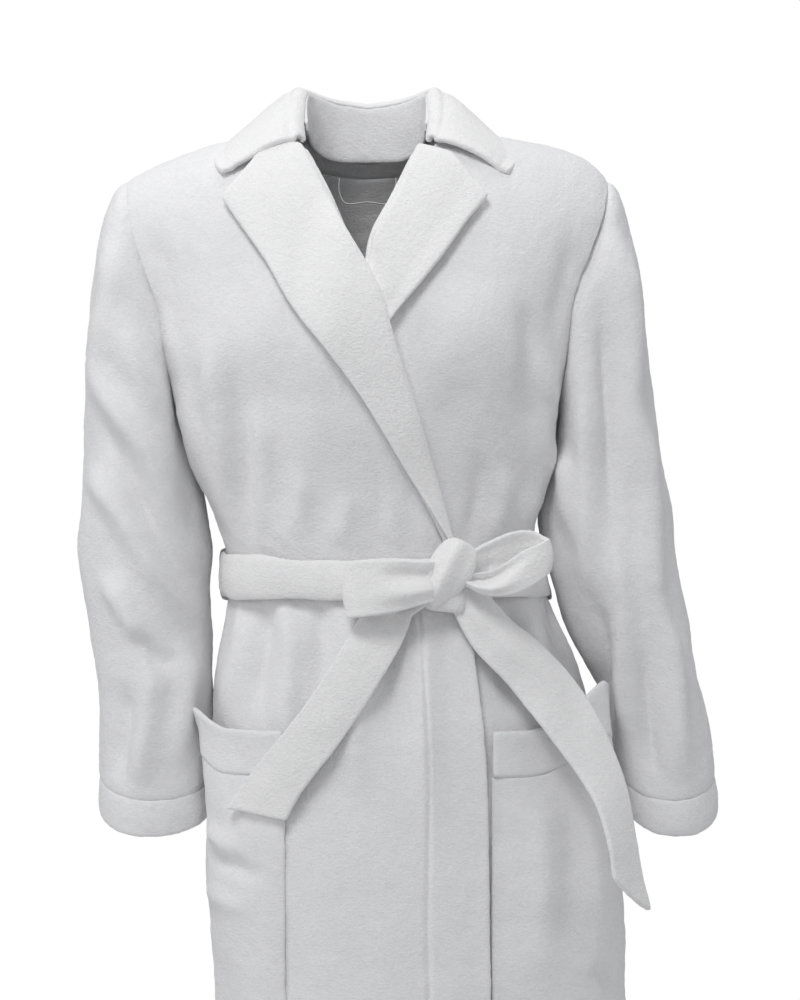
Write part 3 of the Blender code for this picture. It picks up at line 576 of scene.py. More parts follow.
def leaf_points():
    """The collar leaf: it starts inside the stand, rolls over the fold in a half circle, swells
    and falls to its edge, where it lifts a little."""
    fold, edge = collar_line(COLLAR_FOLD, COLLAR_COUNT), collar_line(COLLAR_EDGE, COLLAR_COUNT)
    away = collar_outward(fold)
    tilt = np.radians(np.linspace(-75, 60, 8))[None, :, None]
    up = np.array([0, 0, 1.0])
    over = (fold[:, None] + away[:, None] * np.sin(tilt) * COLLAR_ROLL
            + up * (np.cos(tilt) - 1) * COLLAR_ROLL)
    down = np.linspace(0, 1, 24)[None, 1:, None]
    swell = 0.0055 * np.sin(np.pi * down ** 0.62)
    start = over[:, -1:]
    to_end = np.minimum(np.arange(len(fold)), np.arange(len(fold))[::-1])
    rounded = 1 - 0.13 * (1 - np.clip(to_end / 6, 0, 1)) ** 2
    leaf = start + (edge[:, None] - start) * rounded[:, None, None] * down
    leaf = leaf + away[:, None] * swell + up * swell * 0.65
    grid = np.concatenate([over, leaf], axis=1)
    soft = 0.0035 * value_noise(grid, 0.05, 2.0) + 0.0015 * value_noise(grid, 0.022, 6.0)
    hem = np.linspace(0, 1, grid.shape[1])[None, :, None]
    stitch = -0.0012 * np.exp(-((hem - 0.90) / 0.022) ** 2) + 0.0012 * ramp(hem, 0.93, 1.0)
    return grid + away[:, None] * soft[..., None] + (away[:, None] * 0.6 + up * 0.8) * stitch


def stand_points():
    """The collar stand: straight lines from the neck seam up to just inside the leaf's fold."""
    fold = collar_line(COLLAR_FOLD, COLLAR_COUNT)[6:-6]
    away = collar_outward(fold)
    foot = fold * (1.0, 0.9, 0) + (0, -0.002, 0) - away * 0.0072
    foot[:, 2] = np.minimum(0.046 - 0.020 * ramp(foot[:, 1], 0.0, 0.045), fold[:, 2] - 0.012)
    head = fold - away * 0.0060 - (0, 0, 0.006)
    rise = np.linspace(0, 1, 8)[None, :, None]
    return foot[:, None] + (head - foot)[:, None] * rise


def neck_facing_points():
    """A shaped lining under the back neck seam, inside the back."""
    x = np.linspace(-0.062, 0.062, 26)[None, :]
    share = np.linspace(0.0, 1.0, 16)[:, None]
    low = -0.075 + 0.035 * (x / 0.062) ** 2
    z = low + (0.016 + 0.010 * (x / 0.062) ** 2 - low) * share
    centre, half, depth, _ = section(row_of(x + 0 * z, z), BACK_DEPTH)
    across = np.clip(np.abs(x - centre) / half, 0.0, 1.0)
    points = np.stack([x + 0 * z, depth * (1 - across ** ROUNDNESS) ** (1 / ROUNDNESS), z], axis=-1)
    return stood_off(points, np.full(z.shape, -0.0030))


# Folds of each sleeve's front, in the same form as the fronts' folds
RIGHT_SLEEVE_FOLDS = [
    (-0.225, -0.130, -0.175, -0.300, 0.014, 0.0045), (-0.245, -0.180, -0.165, -0.345, 0.011, 0.0050),
    (-0.250, -0.270, -0.170, -0.400, 0.012, 0.0050), (-0.235, -0.230, -0.185, -0.330, 0.008, -0.0035),
    (-0.240, -0.370, -0.190, -0.440, 0.010, 0.0040), (-0.215, -0.420, -0.180, -0.450, 0.007, -0.0030),
    (-0.200, -0.440, -0.205, -0.570, 0.012, 0.0030), (-0.222, -0.470, -0.225, -0.565, 0.009, -0.0025),
    (-0.235, -0.060, -0.240, -0.200, 0.013, 0.0030), (-0.170, -0.430, -0.172, -0.540, 0.009, 0.0030)]
LEFT_SLEEVE_FOLDS = [
    (0.232, -0.060, 0.245, -0.260, 0.012, 0.0040), (0.215, -0.120, 0.225, -0.330, 0.010, -0.0035),
    (0.200, -0.180, 0.212, -0.400, 0.011, 0.0045), (0.245, -0.220, 0.270, -0.430, 0.012, 0.0045),
    (0.225, -0.330, 0.248, -0.520, 0.011, 0.0040), (0.210, -0.380, 0.232, -0.520, 0.008, -0.0030),
    (0.268, -0.400, 0.296, -0.560, 0.011, 0.0035), (0.250, -0.440, 0.268, -0.560, 0.008, -0.0030),
    (0.182, -0.250, 0.195, -0.330, 0.008, 0.0030)]


def level_ring(turn, side, height, lower, wider=0.0):
    """A level oval section of a sleeve."""
    ordered = sorted(lower)
    centre = eased(height, [(h, c) for h, c, _ in ordered])
    half = eased(height, [(h, w) for h, _, w in ordered]) + wider
    x = centre + side * half * np.cos(turn)
    y = SLEEVE_CENTRE_Y + (eased(height, SLEEVE_HALF_DEPTH) + wider) * np.sin(turn)
    return np.stack([x, y, height + 0 * x], axis=-1)


def hem_tilt(points):
    """Lifts the back and sides of a sleeve's end, so that its opening faces a little back."""
    tilted = points.copy()
    tilted[..., 2] += 0.32 * (points[..., 1] + 0.056) * ramp(-points[..., 2], 0.44, 0.572)
    return tilted


def sleeve_relief(points, side, start):
    """Folds on a sleeve: the drawn ones in front and rolling waves round the back."""
    x, y, z = points[..., 0], points[..., 1], points[..., 2]
    folds = 1.5 * fold_height(x, z, RIGHT_SLEEVE_FOLDS if side < 0 else LEFT_SLEEVE_FOLDS)
    front = 1 - ramp(y, -0.012, 0.030)
    waves = value_noise(points * (1, 1, 0.42), 0.034, 8.0 + side)
    slant = np.sin((z + 1.1 * y) * 60 + 2.0 * value_noise(points, 0.08, 5.0))
    rear = 0.0030 * waves + 0.0022 * slant * ramp(-z, 0.15, 0.3) * (1 - ramp(-z, 0.5, 0.57))
    small = 0.0011 * value_noise(points, 0.030, 3.0)
    return (folds * front + rear * (1 - front) + 0.0012 * waves * front + small) * start


def sleeve_points(side, lower):
    """Rings of a sleeve from inside the armhole to the cuff hem. Cubic paths lead from the
    armhole down to the first level ring."""
    turn = np.linspace(0, 2 * np.pi, SLEEVE_TURNS, endpoint=False)[None, :]
    rise = (1 + np.cos(turn)) / 2
    z = ARMPIT_Z * (1 - rise)
    start = np.stack([side * (eased(z, HALF_WIDTH) + 0.0005),
                      (ARMHOLE_HALF_DEPTH + 0.0015) * np.sin(turn), z + 0.004 * rise], axis=-1)
    first = level_ring(turn, side, np.array([[lower[0][0]]]), lower)
    lead_out, lead_down, slope = SLEEVE_LEAD[side]
    lead = np.stack([side * (lead_out * rise + 0.010), 0.016 * np.sin(turn),
                     -lead_down - 0.02 * (1 - rise)], axis=-1)
    tail = np.stack([slope * rise, 0 * z, 0.02 + 0.11 * rise], axis=-1)
    t = np.concatenate([[0.0, 0.02, 0.045], np.linspace(0.07, 1.0, 28)[:-1]])[:, None, None]
    cap = ((1 - t) ** 3 * start + 3 * t * (1 - t) ** 2 * (start + lead)
           + 3 * t * t * (1 - t) * (first + tail) + t ** 3 * first)
    heights = np.linspace(lower[0][0], CUFF_SEAM_Z - 0.0005, 50)[:, None]
    inside = start[None, 0] + np.array([[-side * 0.009, 0, -0.001], [-side * 0.0045, 0, 0]])[:, None]
    inside = inside * (1, 0.985, 1)
    rings = np.concatenate([inside, cap, level_ring(turn, side, heights, lower)], axis=0)
    place = (np.arange(len(rings))[:, None] - 2) / 10.0
    seam = 0.0022 - 0.0032 * np.exp(-(np.maximum(place, 0) / 0.30) ** 2)
    stitched = -0.0016 * np.exp(-((rings[..., 2] - CUFF_SEAM_Z) / 0.004) ** 2)
    settled = ramp(place, 0.0, 0.9) * (1 - 0.75 * ramp(-rings[..., 2], 0.54, 0.575))
    away = rings - rings.mean(axis=1, keepdims=True)
    wrapped = np.concatenate([rings[:, -1:], rings, rings[:, :1]], axis=1)
    normals = grid_normals(wrapped, np.concatenate([away[:, -1:], away, away[:, :1]], axis=1))
    lift = sleeve_relief(rings, side, settled) + seam + stitched
    return hem_tilt(rings + normals[:, 1:-1] * lift[..., None])


def cuff_points(side, lower):
    """The turned hem at the end of a sleeve: level ovals a little wider than the sleeve, which
    bulge by a sine over their height."""
    turn = np.linspace(0, 2 * np.pi, SLEEVE_TURNS, endpoint=False)[None, :]
    heights = np.linspace(CUFF_SEAM_Z + 0.0015, CUFF_END_Z, 9)[:, None]
    bulge = 0.0016 * np.sin(np.pi * (heights - CUFF_END_Z) / (CUFF_SEAM_Z - CUFF_END_Z + 0.0015))
    rings = level_ring(turn, side, heights, lower, 0.0008 + bulge)
    return hem_tilt(rings + 0.0012 * value_noise(rings, 0.03, 3.0)[..., None] * (1, 1, 0))


# By side: how far a pocket's outer corner rises and stands off, how far along its mouth the rise
# reaches, and the x of its inner edge
MOUTH_RISE = {-1: 0.022, 1: 0.040}
CORNER_FLARE = {-1: 0.0130, 1: 0.0185}
RISE_REACH = {-1: 0.45, 1: 0.80}
POCKET_INNER_X = {-1: -0.0665, 1: 0.1110}
POCKET_SIDE_Y = 0.034
HEM_THICKNESS = 0.0052
# Creases on the pockets, in the same form as the fronts' folds
POCKET_CREASES = [
    (-0.140, -0.620, -0.085, -0.634, 0.007, -0.0035), (-0.145, -0.600, -0.100, -0.612, 0.007, 0.003),
    (-0.142, -0.655, -0.095, -0.664, 0.008, 0.0025), (-0.120, -0.540, -0.112, -0.700, 0.012, 0.002),
    (0.200, -0.722, 0.228, -0.757, 0.006, -0.003), (0.150, -0.560, 0.160, -0.720, 0.014, 0.003),
    (0.185, -0.560, 0.205, -0.700, 0.012, 0.003)]


def pocket_points(side, bottom, top, thickness, rolled):
    """A patch pocket or the band round its mouth: the front's face moved out by its layer. Near the
    side its mouth rises and stands off, by smooth steps along and up the pocket."""
    rows = np.linspace(bottom, top, max(int((top - bottom) / 0.006), 7) + 1)[:, None]
    out = np.linspace(0, 1, 26)[None, :]
    corner = (1 - ramp(out, 0.0, RISE_REACH[side])) * (0.30 + 0.70 * np.sqrt(np.clip(out / 0.17, 0, 1)))
    rows = rows + MOUTH_RISE[side] * corner * ramp(rows, -0.66, POCKET_MOUTH_Z)
    _, _, depth, _ = section(rows, FRONT_DEPTH)
    edge = np.arcsin((POCKET_SIDE_Y / depth) ** (ROUNDNESS / 2))
    start = np.pi - edge if side < 0 else edge
    end = turn_at_x(rows, POCKET_INNER_X[side], FRONT_DEPTH)
    turns = start + (end - start) * out
    points = body_grid(rows, turns, FRONT_DEPTH, -1)
    x = points[..., 0]
    base = outer_face(x, rows) if side < 0 else INNER_FACE
    flare = CORNER_FLARE[side] * (1 - ramp(out, 0.05, 0.6)) * ramp(rows, -0.62, POCKET_MOUTH_Z)
    flare = flare * (0.30 + 0.70 * np.sqrt(ramp(out, 0.0, 0.16)))
    bag = 0.0030 * np.sin(np.pi * out) * ramp(rows, POCKET_END_Z, -0.70)
    bag = bag * (1 - ramp(rows, -0.62, -0.5))
    sewn = thickness + 0.0016 - 0.0020 * ramp(out, 0.9, 1.0) * (1 - rolled)
    creases = fold_height(x, rows + 0 * x, POCKET_CREASES) * ramp(out, 0.06, 0.26)
    lip = rolled * 0.0026 * (np.arange(len(rows)) / (len(rows) - 1))[:, None] ** 3
    lip = lip * (1 + 2.0 * (1 - ramp(out, 0.10, 0.40)))
    waves = 0.0014 * value_noise(points, 0.028, 7.0)
    stand = base + sewn + flare + bag + lip + waves + creases + relief(points, rows + 0 * x, turns)
    return stood_off(points, stand)


def belt_face(points):
    """The belt's outer face stands further out in front, where it crosses both fronts."""
    x, y = points[..., 0], points[..., 1]
    front = ramp(x, -0.125, -0.085) * (1 - ramp(x, 0.125, 0.150)) * ramp(-y, 0.0, 0.04)
    return 0.0098 + 0.0112 * front


def belt_points():
    """The belt round the waist: soft across its width, with creases that run to the knot."""
    rows = np.linspace(BELT_BOTTOM, BELT_TOP, 11)[:, None]
    quarter = np.linspace(0, np.pi, 96)[None, :]
    front = body_grid(rows, quarter, FRONT_DEPTH, -1)
    back = body_grid(rows, quarter[:, ::-1], BACK_DEPTH, 1)
    ring = np.concatenate([front, back[:, 1:-1]], axis=1)
    wide = np.concatenate([ring[:, -1:], ring, ring[:, :1]], axis=1)
    across = (rows - BELT_BOTTOM) / (BELT_TOP - BELT_BOTTOM)
    body = 0.0058 * np.sin(np.pi * across) ** 0.6 - 0.0022
    near = np.exp(-((wide[..., 0] - 0.082) / 0.05) ** 2) * (wide[..., 1] < 0)
    crease = 0.0016 * near * np.cos(across * 2 * np.pi * 2.5 + 14 * np.abs(wide[..., 0] - 0.082))
    waves = 0.0011 * value_noise(wide, 0.03, 9.0) + 0.0009 * value_noise(wide * (1, 1, 0.3), 0.014, 5.0)
    stood = stood_off(wide, belt_face(wide) + body + crease + waves)[:, 1:-1]
    front = stood[..., 1] < 0
    narrow = -0.0075 * across * ramp(stood[..., 0], -0.13, -0.03) * front
    edges = 0.0020 * value_noise(stood * (1, 1, 0.2), 0.032, 12.0) * (2 * across - 1)
    stood[..., 2] += narrow + edges + 0.0020 * value_noise(stood, 0.06, 12.0)
    return stood


KNOT_X, KNOT_Z = 0.0735, -0.3610
KNOT_HALF_WIDTH, KNOT_HALF_DEPTH, KNOT_HALF_LENGTH = 0.0195, 0.0165, 0.0320
KNOT_LEAN = math.radians(-31)


def knot_points():
    """The knot's two parts, both superellipsoids: a plump cushion whose long axis leans up to the
    wearer's left, with cosine pleats along it, and below it the flat end of the wrap."""
    round_turn = np.linspace(0, 2 * np.pi, 72, endpoint=False)[None, :]
    rise = np.linspace(-1, 1, 44)[:, None] * 0.5 * np.pi * 0.985
    x = KNOT_HALF_WIDTH * np.cos(rise) ** 0.62 * np.cos(round_turn) * (1 + 0.14 * np.sin(rise))
    y = KNOT_HALF_DEPTH * np.cos(rise) ** 0.62 * np.sin(round_turn)
    z = KNOT_HALF_LENGTH * np.sin(rise) + 0 * x
    front = np.clip(-np.sin(round_turn), 0, 1) ** 0.5
    pleat = np.cos(x / KNOT_HALF_WIDTH * 4.6 + 0.6 + 22 * z) * front * (0.60 + 0.40 * np.abs(rise) / 1.5)
    y = y - 0.0038 * pleat * np.cos(rise) ** 0.4
    swell = 0.06 * value_noise(np.stack([x, y, z], axis=-1), 0.016, 3.0)
    x, y = x * (1 + swell), y * (1 + swell)
    lean_x = x * math.cos(KNOT_LEAN) - z * math.sin(KNOT_LEAN)
    lean_z = x * math.sin(KNOT_LEAN) + z * math.cos(KNOT_LEAN)
    middle = float(front_y(np.array(KNOT_X), np.array(KNOT_Z))) - 0.0340
    wrap = np.stack([KNOT_X + lean_x, middle + y + 0 * x, KNOT_Z + lean_z], axis=-1)
    x = KNOT_HALF_WIDTH * np.cos(rise) ** 0.4 * np.cos(round_turn)
    y = 0.0095 * np.cos(rise) ** 0.5 * np.sin(round_turn)
    z = 0.0125 * np.sign(rise) * np.abs(np.sin(rise)) ** 0.8 + 0 * x
    below = np.stack([KNOT_X - 0.0035 + x, middle + 0.0035 + y, KNOT_Z - 0.0225 + z - 0.10 * x], axis=-1)
    return wrap, below


def loop_points(near_x, far_x, front_top, front_bottom, back_top, back_bottom, plump, seed):
    """A loop of the bow. Its plan is a drawn-out drop. Its front and back layers each have a top
    and a bottom edge, given as (share from the knot, height), and pleats fade from the knot."""
    turn = np.linspace(0, 2 * np.pi, 84, endpoint=False)[None, :]
    share = (1 - np.cos(turn)) / 2
    front = (1 + np.sin(turn)) / 2
    front = ramp(front, 0.15, 0.85)
    top = eased(share, front_top) * front + eased(share, back_top) * (1 - front)
    bottom = eased(share, front_bottom) * front + eased(share, back_bottom) * (1 - front)
    up = np.linspace(0, 1, 15)[:, None]
    z = bottom + (top - bottom) * up
    x = near_x + (far_x - near_x) * share + 0 * z
    x = x + np.sign(far_x - near_x) * 0.004 * np.sin(np.pi * up) * ramp(share, 0.7, 1.0)
    depth = (0.0070 + plump * share ** 1.2) * np.sign(np.sin(turn)) * np.abs(np.sin(turn)) ** 0.75
    belly = 0.0040 * np.sin(np.pi * up) * np.sin(np.pi * share) * (2 * front - 1)
    roll = np.exp(-((up - 0.30 - 0.10 * share) / 0.20) ** 2)
    hollow = np.exp(-((up - 0.66 - 0.08 * share) / 0.13) ** 2)
    pleat = (0.0050 * roll - 0.0075 * hollow) * (1 - ramp(share, 0.30, 0.80)) * front
    pleat = pleat + 0.0008 * np.cos(2 * np.pi * 2.7 * up + seed) * (1 - share)
    held = np.clip(x, -0.02, 0.108)
    y = front_y(held, z) - 0.0400 - depth - belly - pleat
    points = np.stack([x, y, z + 0 * x], axis=-1)
    return points + 0.0011 * value_noise(points, 0.02, seed)[..., None] * (0, -1, 0.6)


def tail_points(line, widths, twist, held_in, drop, seed, tip, slant):
    """A hanging end of the belt along a line. It turns about the line by twist, given in degrees
    at shares of its length. Its end is rounded by tip or cut slanted by slant."""
    s = np.linspace(0, 1, 64)
    middle = along_line(line, s)
    width = np.interp(s, np.linspace(0, 1, len(widths)), widths)
    run = np.gradient(middle, axis=0)
    run /= np.linalg.norm(run, axis=1, keepdims=True)
    side = np.stack([-run[:, 1], run[:, 0]], axis=-1)
    side *= np.sign(side[:, :1])
    turn = np.radians(eased(s, twist))[:, None]
    half = width[:, None] / 2
    out = np.linspace(-1, 1, 13)[None, :]
    flat = middle[:, None] + side[:, None] * (out * half * np.cos(turn))[..., None]
    if tip:
        round_in = tip * (1 - np.sqrt(1 - 0.98 * out ** 2)) * ramp(s, 0.80, 1.0)[:, None]
        flat = flat - run[:, None] * round_in[..., None]
    flat = flat - run[:, None] * (slant * out * ramp(s, 0.82, 1.0)[:, None])[..., None]
    x, z = flat[..., 0], flat[..., 1]
    support = held_in[1] - 0.012 * np.log1p(np.exp(np.clip((held_in[1] - x) / 0.012, -30, 30)))
    support = np.maximum(support, held_in[0])
    points = np.stack([x, front_y(support, z), z], axis=-1)
    lift = (drop[0] + (drop[1] - drop[0]) * s[:, None] + half * np.abs(np.sin(turn))
            - out * half * np.sin(turn))
    puff = 0.0022 * np.cos(0.5 * np.pi * out) + 0.0014 * value_noise(points, 0.022, seed)
    crease = 0.0020 * np.cos(out * 6.0 + seed) * (1 - ramp(s, 0.05, 0.35))[:, None]
    points[..., 1] -= lift + puff + crease
    return points


def ribbon_points(path, width_axis, width):
    """A strip of tape along a path, as wide as width along one axis."""
    s = np.linspace(0, 1, 60)
    middle = along_line(path, s)
    out = np.linspace(-0.5, 0.5, 4)[None, :, None]
    return middle[:, None] + np.array(width_axis) * out * width


# ---- Finishes --------------------------------------------------------------------------------
def nap_group():
    """A shader group for pile: strands, clumps of strands and patches of brushed nap. It puts out
    a colour between Lit and Shaded, which paints light on the raised strands and clumps and
    shade in the hollows between them, with darker patches of brushed nap, a roughness and a height."""
    group = bpy.data.node_groups.new("Nap", "ShaderNodeTree")
    side = group.interface
    for name, kind, value in (("Lit", "NodeSocketColor", (0.9, 0.9, 0.9, 1)),
                              ("Shaded", "NodeSocketColor", (0.6, 0.6, 0.6, 1)),
                              ("Strand", "NodeSocketFloat", 800.0), ("Clump", "NodeSocketFloat", 190.0),
                              ("Patch", "NodeSocketFloat", 16.0), ("Patchiness", "NodeSocketFloat", 0.3)):
        socket = side.new_socket(name, in_out="INPUT", socket_type=kind)
        socket.default_value = value
    side.new_socket("Colour", in_out="OUTPUT", socket_type="NodeSocketColor")
    side.new_socket("Roughness", in_out="OUTPUT", socket_type="NodeSocketFloat")
    side.new_socket("Height", in_out="OUTPUT", socket_type="NodeSocketFloat")
    add, link = group.nodes.new, group.links.new
    given, out = add("NodeGroupInput"), add("NodeGroupOutput")
    place = add("ShaderNodeAttribute")
    place.attribute_name = "rest_place"
    down = add("ShaderNodeMapping")
    down.inputs["Scale"].default_value = (0.60, 0.60, 1.0)
    link(place.outputs["Vector"], down.inputs["Vector"])

    def noise(vector, scale, detail, distortion):
        node = add("ShaderNodeTexNoise")
        node.inputs["Detail"].default_value = detail
        node.inputs["Roughness"].default_value = 0.6
        node.inputs["Distortion"].default_value = distortion
        link(vector, node.inputs["Vector"])
        link(given.outputs[scale], node.inputs["Scale"])
        return node.outputs["Fac"]

    strand = noise(down.outputs["Vector"], "Strand", 2.0, 0.2)
    clump = noise(down.outputs["Vector"], "Clump", 3.0, 0.3)
    patch = noise(down.outputs["Vector"], "Patch", 5.0, 0.8)

    def blend_of(low, high, value, start, end):
        node = add("ShaderNodeMapRange")
        node.interpolation_type = "SMOOTHSTEP"
        link(value, node.inputs["Value"])
        for name, amount in (("From Min", start), ("From Max", end), ("To Min", low), ("To Max", high)):
            node.inputs[name].default_value = amount
        return node.outputs["Result"]

    def combined(operation, a, b):
        node = add("ShaderNodeMath")
        node.operation = operation
        for socket, value in zip(node.inputs, (a, b)):
            if isinstance(value, float):
                socket.default_value = value
            else:
                link(value, socket)
        return node.outputs["Value"]

    fine = blend_of(0.0, 0.55, strand, 0.30, 0.70)
    tufts = blend_of(0.0, 0.45, clump, 0.30, 0.70)
    brushed = combined("MULTIPLY", blend_of(0.0, 1.0, patch, 0.35, 0.65), given.outputs["Patchiness"])
    # The colour's mix: painted light where strands and clumps stand high, painted shade in the hollows
    # between them, and darker where the nap is brushed
    depth = combined("SUBTRACT", combined("ADD", fine, tufts), brushed)
    mix = add("ShaderNodeMix")
    mix.data_type = "RGBA"
    link(depth, mix.inputs["Factor"])
    link(given.outputs["Shaded"], mix.inputs["A"])
    link(given.outputs["Lit"], mix.inputs["B"])
    link(mix.outputs["Result"], out.inputs["Colour"])
    link(blend_of(0.78, 0.98, clump, 0.3, 0.7), out.inputs["Roughness"])
    link(combined("ADD", combined("MULTIPLY", strand, 0.55), clump), out.inputs["Height"])
    return group


def plush(name, group, lit, shaded, strand, clump, patchiness, bump, sheen):
    """A pile finish: the nap's colour, painted between a lit and a shaded colour of the pile, its
    roughness and height on a Principled shader with sheen.
    """
    finish = bpy.data.materials.new(name)
    finish.use_nodes = True
    nodes, link = finish.node_tree.nodes, finish.node_tree.links.new
    shader = nodes["Principled BSDF"]
    nap = nodes.new("ShaderNodeGroup")
    nap.node_tree = group
    nap.inputs["Lit"].default_value = (*lit, 1)
    nap.inputs["Shaded"].default_value = (*shaded, 1)
    nap.inputs["Strand"].default_value = strand
    nap.inputs["Clump"].default_value = clump
    nap.inputs["Patchiness"].default_value = patchiness
    raised = nodes.new("ShaderNodeBump")
    raised.inputs["Strength"].default_value = bump
    raised.inputs["Distance"].default_value = 0.0016
    link(nap.outputs["Colour"], shader.inputs["Base Color"])
    link(nap.outputs["Roughness"], shader.inputs["Roughness"])
    link(nap.outputs["Height"], raised.inputs["Height"])
    link(raised.outputs["Normal"], shader.inputs["Normal"])
    shader.inputs["Specular IOR Level"].default_value = 0.15
    shader.inputs["Sheen Weight"].default_value = sheen
    shader.inputs["Sheen Roughness"].default_value = 0.55
    finish.diffuse_color = (*lit, 1)
    return finish


def finishes():
    """The robe's three finishes, made once: short plush, its fluffier face, and ribbon."""
    if "short plush" in bpy.data.materials:
        return {key: bpy.data.materials[name] for key, name in
                (("plush", "short plush"), ("fluffy_plush", "fluffy plush"), ("ribbon", "ribbon"))}
    group = nap_group()
    # Each finish: name, nap group, lit colour for the pile's tops, painted shade colour for its hollows,
    # strand and clump scales, patchiness, bump and sheen
    return {
        "plush": plush("short plush", group, (0.945, 0.943, 0.947), (0.850, 0.848, 0.856), 1300.0, 430.0,
                       0.34, 0.60, 0.25),
        "fluffy_plush": plush("fluffy plush", group, (0.980, 0.977, 0.978), (0.905, 0.901, 0.904), 1100.0,
                              500.0, 0.16, 0.75, 0.35),
        "ribbon": plush("ribbon", group, (0.74, 0.74, 0.73), (0.58, 0.58, 0.57), 1500.0, 700.0, 0.1,
                        0.35, 0.05)}


# ---- Operators -------------------------------------------------------------------------------
class RobeSettings(bpy.types.PropertyGroup):
    cloth: FloatProperty(name="Cloth thickness", description="Thickness of one layer of plush",
                         default=0.0036, min=0.001, max=0.01, unit="LENGTH")
    thick: FloatProperty(name="Lapel thickness", description="Thickness of the doubled lapels and collar",
                         default=0.0064, min=0.002, max=0.015, unit="LENGTH")
    pile: FloatProperty(name="Pile", description="Height of the short pile's clumps", default=0.00045,
                        min=0.0, max=0.003, unit="LENGTH")
    fluff: FloatProperty(name="Fluff", description="Height of the fluffy pile's clumps", default=0.00021,
                         min=0.0, max=0.004, unit="LENGTH")
    camera_place: FloatVectorProperty(name="Camera", description="Where the camera stands",
                                      default=(0.031, -2.60, -0.296), subtype="TRANSLATION")
    camera_lens: FloatProperty(name="Lens", description="Focal length, in millimetres", default=99.4,
                               min=20.0, max=300.0)
    floor_drop: FloatProperty(name="Floor drop", description="Gap from the hem to the floor",
                              default=0.22, min=0.0, max=1.0, unit="LENGTH")


def worn(piece, body, *nodes):
    """Joins a piece to its body and hides the CAD nodes whose place it takes."""
    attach(piece, body)
    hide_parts(*nodes)


def bent(piece, body, start, end, *nodes):
    """Bakes a piece's place into its mesh and hides the CAD nodes whose place it takes."""
    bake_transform(piece)
    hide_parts(*nodes)


class ROBE_OT_back(bpy.types.Operator):
    """Adds the back and the facing inside its neck"""
    bl_idname = "robe.back"
    bl_label = "Back"

    def execute(self, context):
        robe, look = context.scene.robe, finishes()
        points = back_points()
        piece = cloth("back", points, robe.cloth, look["plush"], pile=robe.pile, seed=1.0)
        worn(piece, GARMENT, "back_panel")
        points = neck_facing_points()
        piece = cloth("back_neck_lining", points, 0.0024, look["plush"], pile=robe.pile, seed=2.0)
        worn(piece, GARMENT, "back_neck_facing")
        return {"FINISHED"}


class ROBE_OT_fronts(bpy.types.Operator):
    """Adds the two fronts and the facings inside their free edges"""
    bl_idname = "robe.fronts"
    bl_label = "Fronts and facings"

    def execute(self, context):
        robe, look = context.scene.robe, finishes()
        for name, side, knots, face, columns, node, seed in (
                ("right_front", -1, OUTER_EDGE, outer_face, 60, "right_front_panel", 3.0),
                ("left_front", 1, INNER_EDGE, inner_face, 54, "left_front_panel", 4.0)):
            points = front_points(side, knots, face, columns)
            piece = cloth(name, points, robe.cloth, look["plush"], pile=robe.pile, seed=seed)
            worn(piece, GARMENT, node)
        for name, knots, inset, face, side, highest, node in (
                ("right_front_band", OUTER_EDGE, 0.008, FACING_FACE, -1, -0.215, "right_front_facing"),
                ("left_front_band", INNER_EDGE, 0.002, -0.0006, 1, -0.13, "left_front_facing")):
            points = facing_points(knots, 0.052, inset, face, side, highest)
            piece = cloth(name, points, FACING_THICKNESS, look["plush"], pile=0.0002, seed=5.0)
            worn(piece, GARMENT, node)
        return {"FINISHED"}


class ROBE_OT_lapels(bpy.types.Operator):
    """Adds the two folded lapels"""
    bl_idname = "robe.lapels"
    bl_label = "Lapels"

    def execute(self, context):
        robe, look = context.scene.robe, finishes()
        for name, roll, edge, lift, notch, base in (
                ("right_lapel_cloth", [(0.0775, -0.340)] + OUTER_EDGE[5:11] + [(-0.058, 0.026)],
                 OUTER_LAPEL_EDGE, 0.024, 0.45, outer_face),
                ("left_lapel_cloth", [(-0.013, -0.160)] + INNER_EDGE[4:8] + [(0.046, 0.024)],
                 INNER_LAPEL_EDGE, 0.014, 0.5, inner_face)):
            points = lapel_points(roll, edge, lift, notch, base, robe.thick)
            piece = cloth(name, points, robe.thick, look["fluffy_plush"], "fluffy_plush",
                          pile=robe.fluff, seed=6.0)
            worn(piece, GARMENT, name.replace("_cloth", ""))
        return {"FINISHED"}


class ROBE_OT_collar(bpy.types.Operator):
    """Adds the collar's leaf and the stand inside it"""
    bl_idname = "robe.collar"
    bl_label = "Collar"

    def execute(self, context):
        robe, look = context.scene.robe, finishes()
        points = leaf_points()
        away = collar_outward(collar_line(COLLAR_FOLD, COLLAR_COUNT))[:, None]
        outward = away + np.array([0, 0, 0.8]) + 0 * points
        piece = cloth("collar", points, robe.thick, look["fluffy_plush"], "fluffy_plush",
                      outward=outward, pile=robe.fluff, seed=7.0)
        worn(piece, GARMENT, "collar_leaf")
        points = stand_points()
        piece = cloth("collar_stand_inside", points, robe.cloth, look["plush"],
                      outward=collar_outward(points[:, 0])[:, None] + 0 * points, pile=robe.pile, seed=8.0)
        worn(piece, GARMENT, "collar_stand")
        return {"FINISHED"}


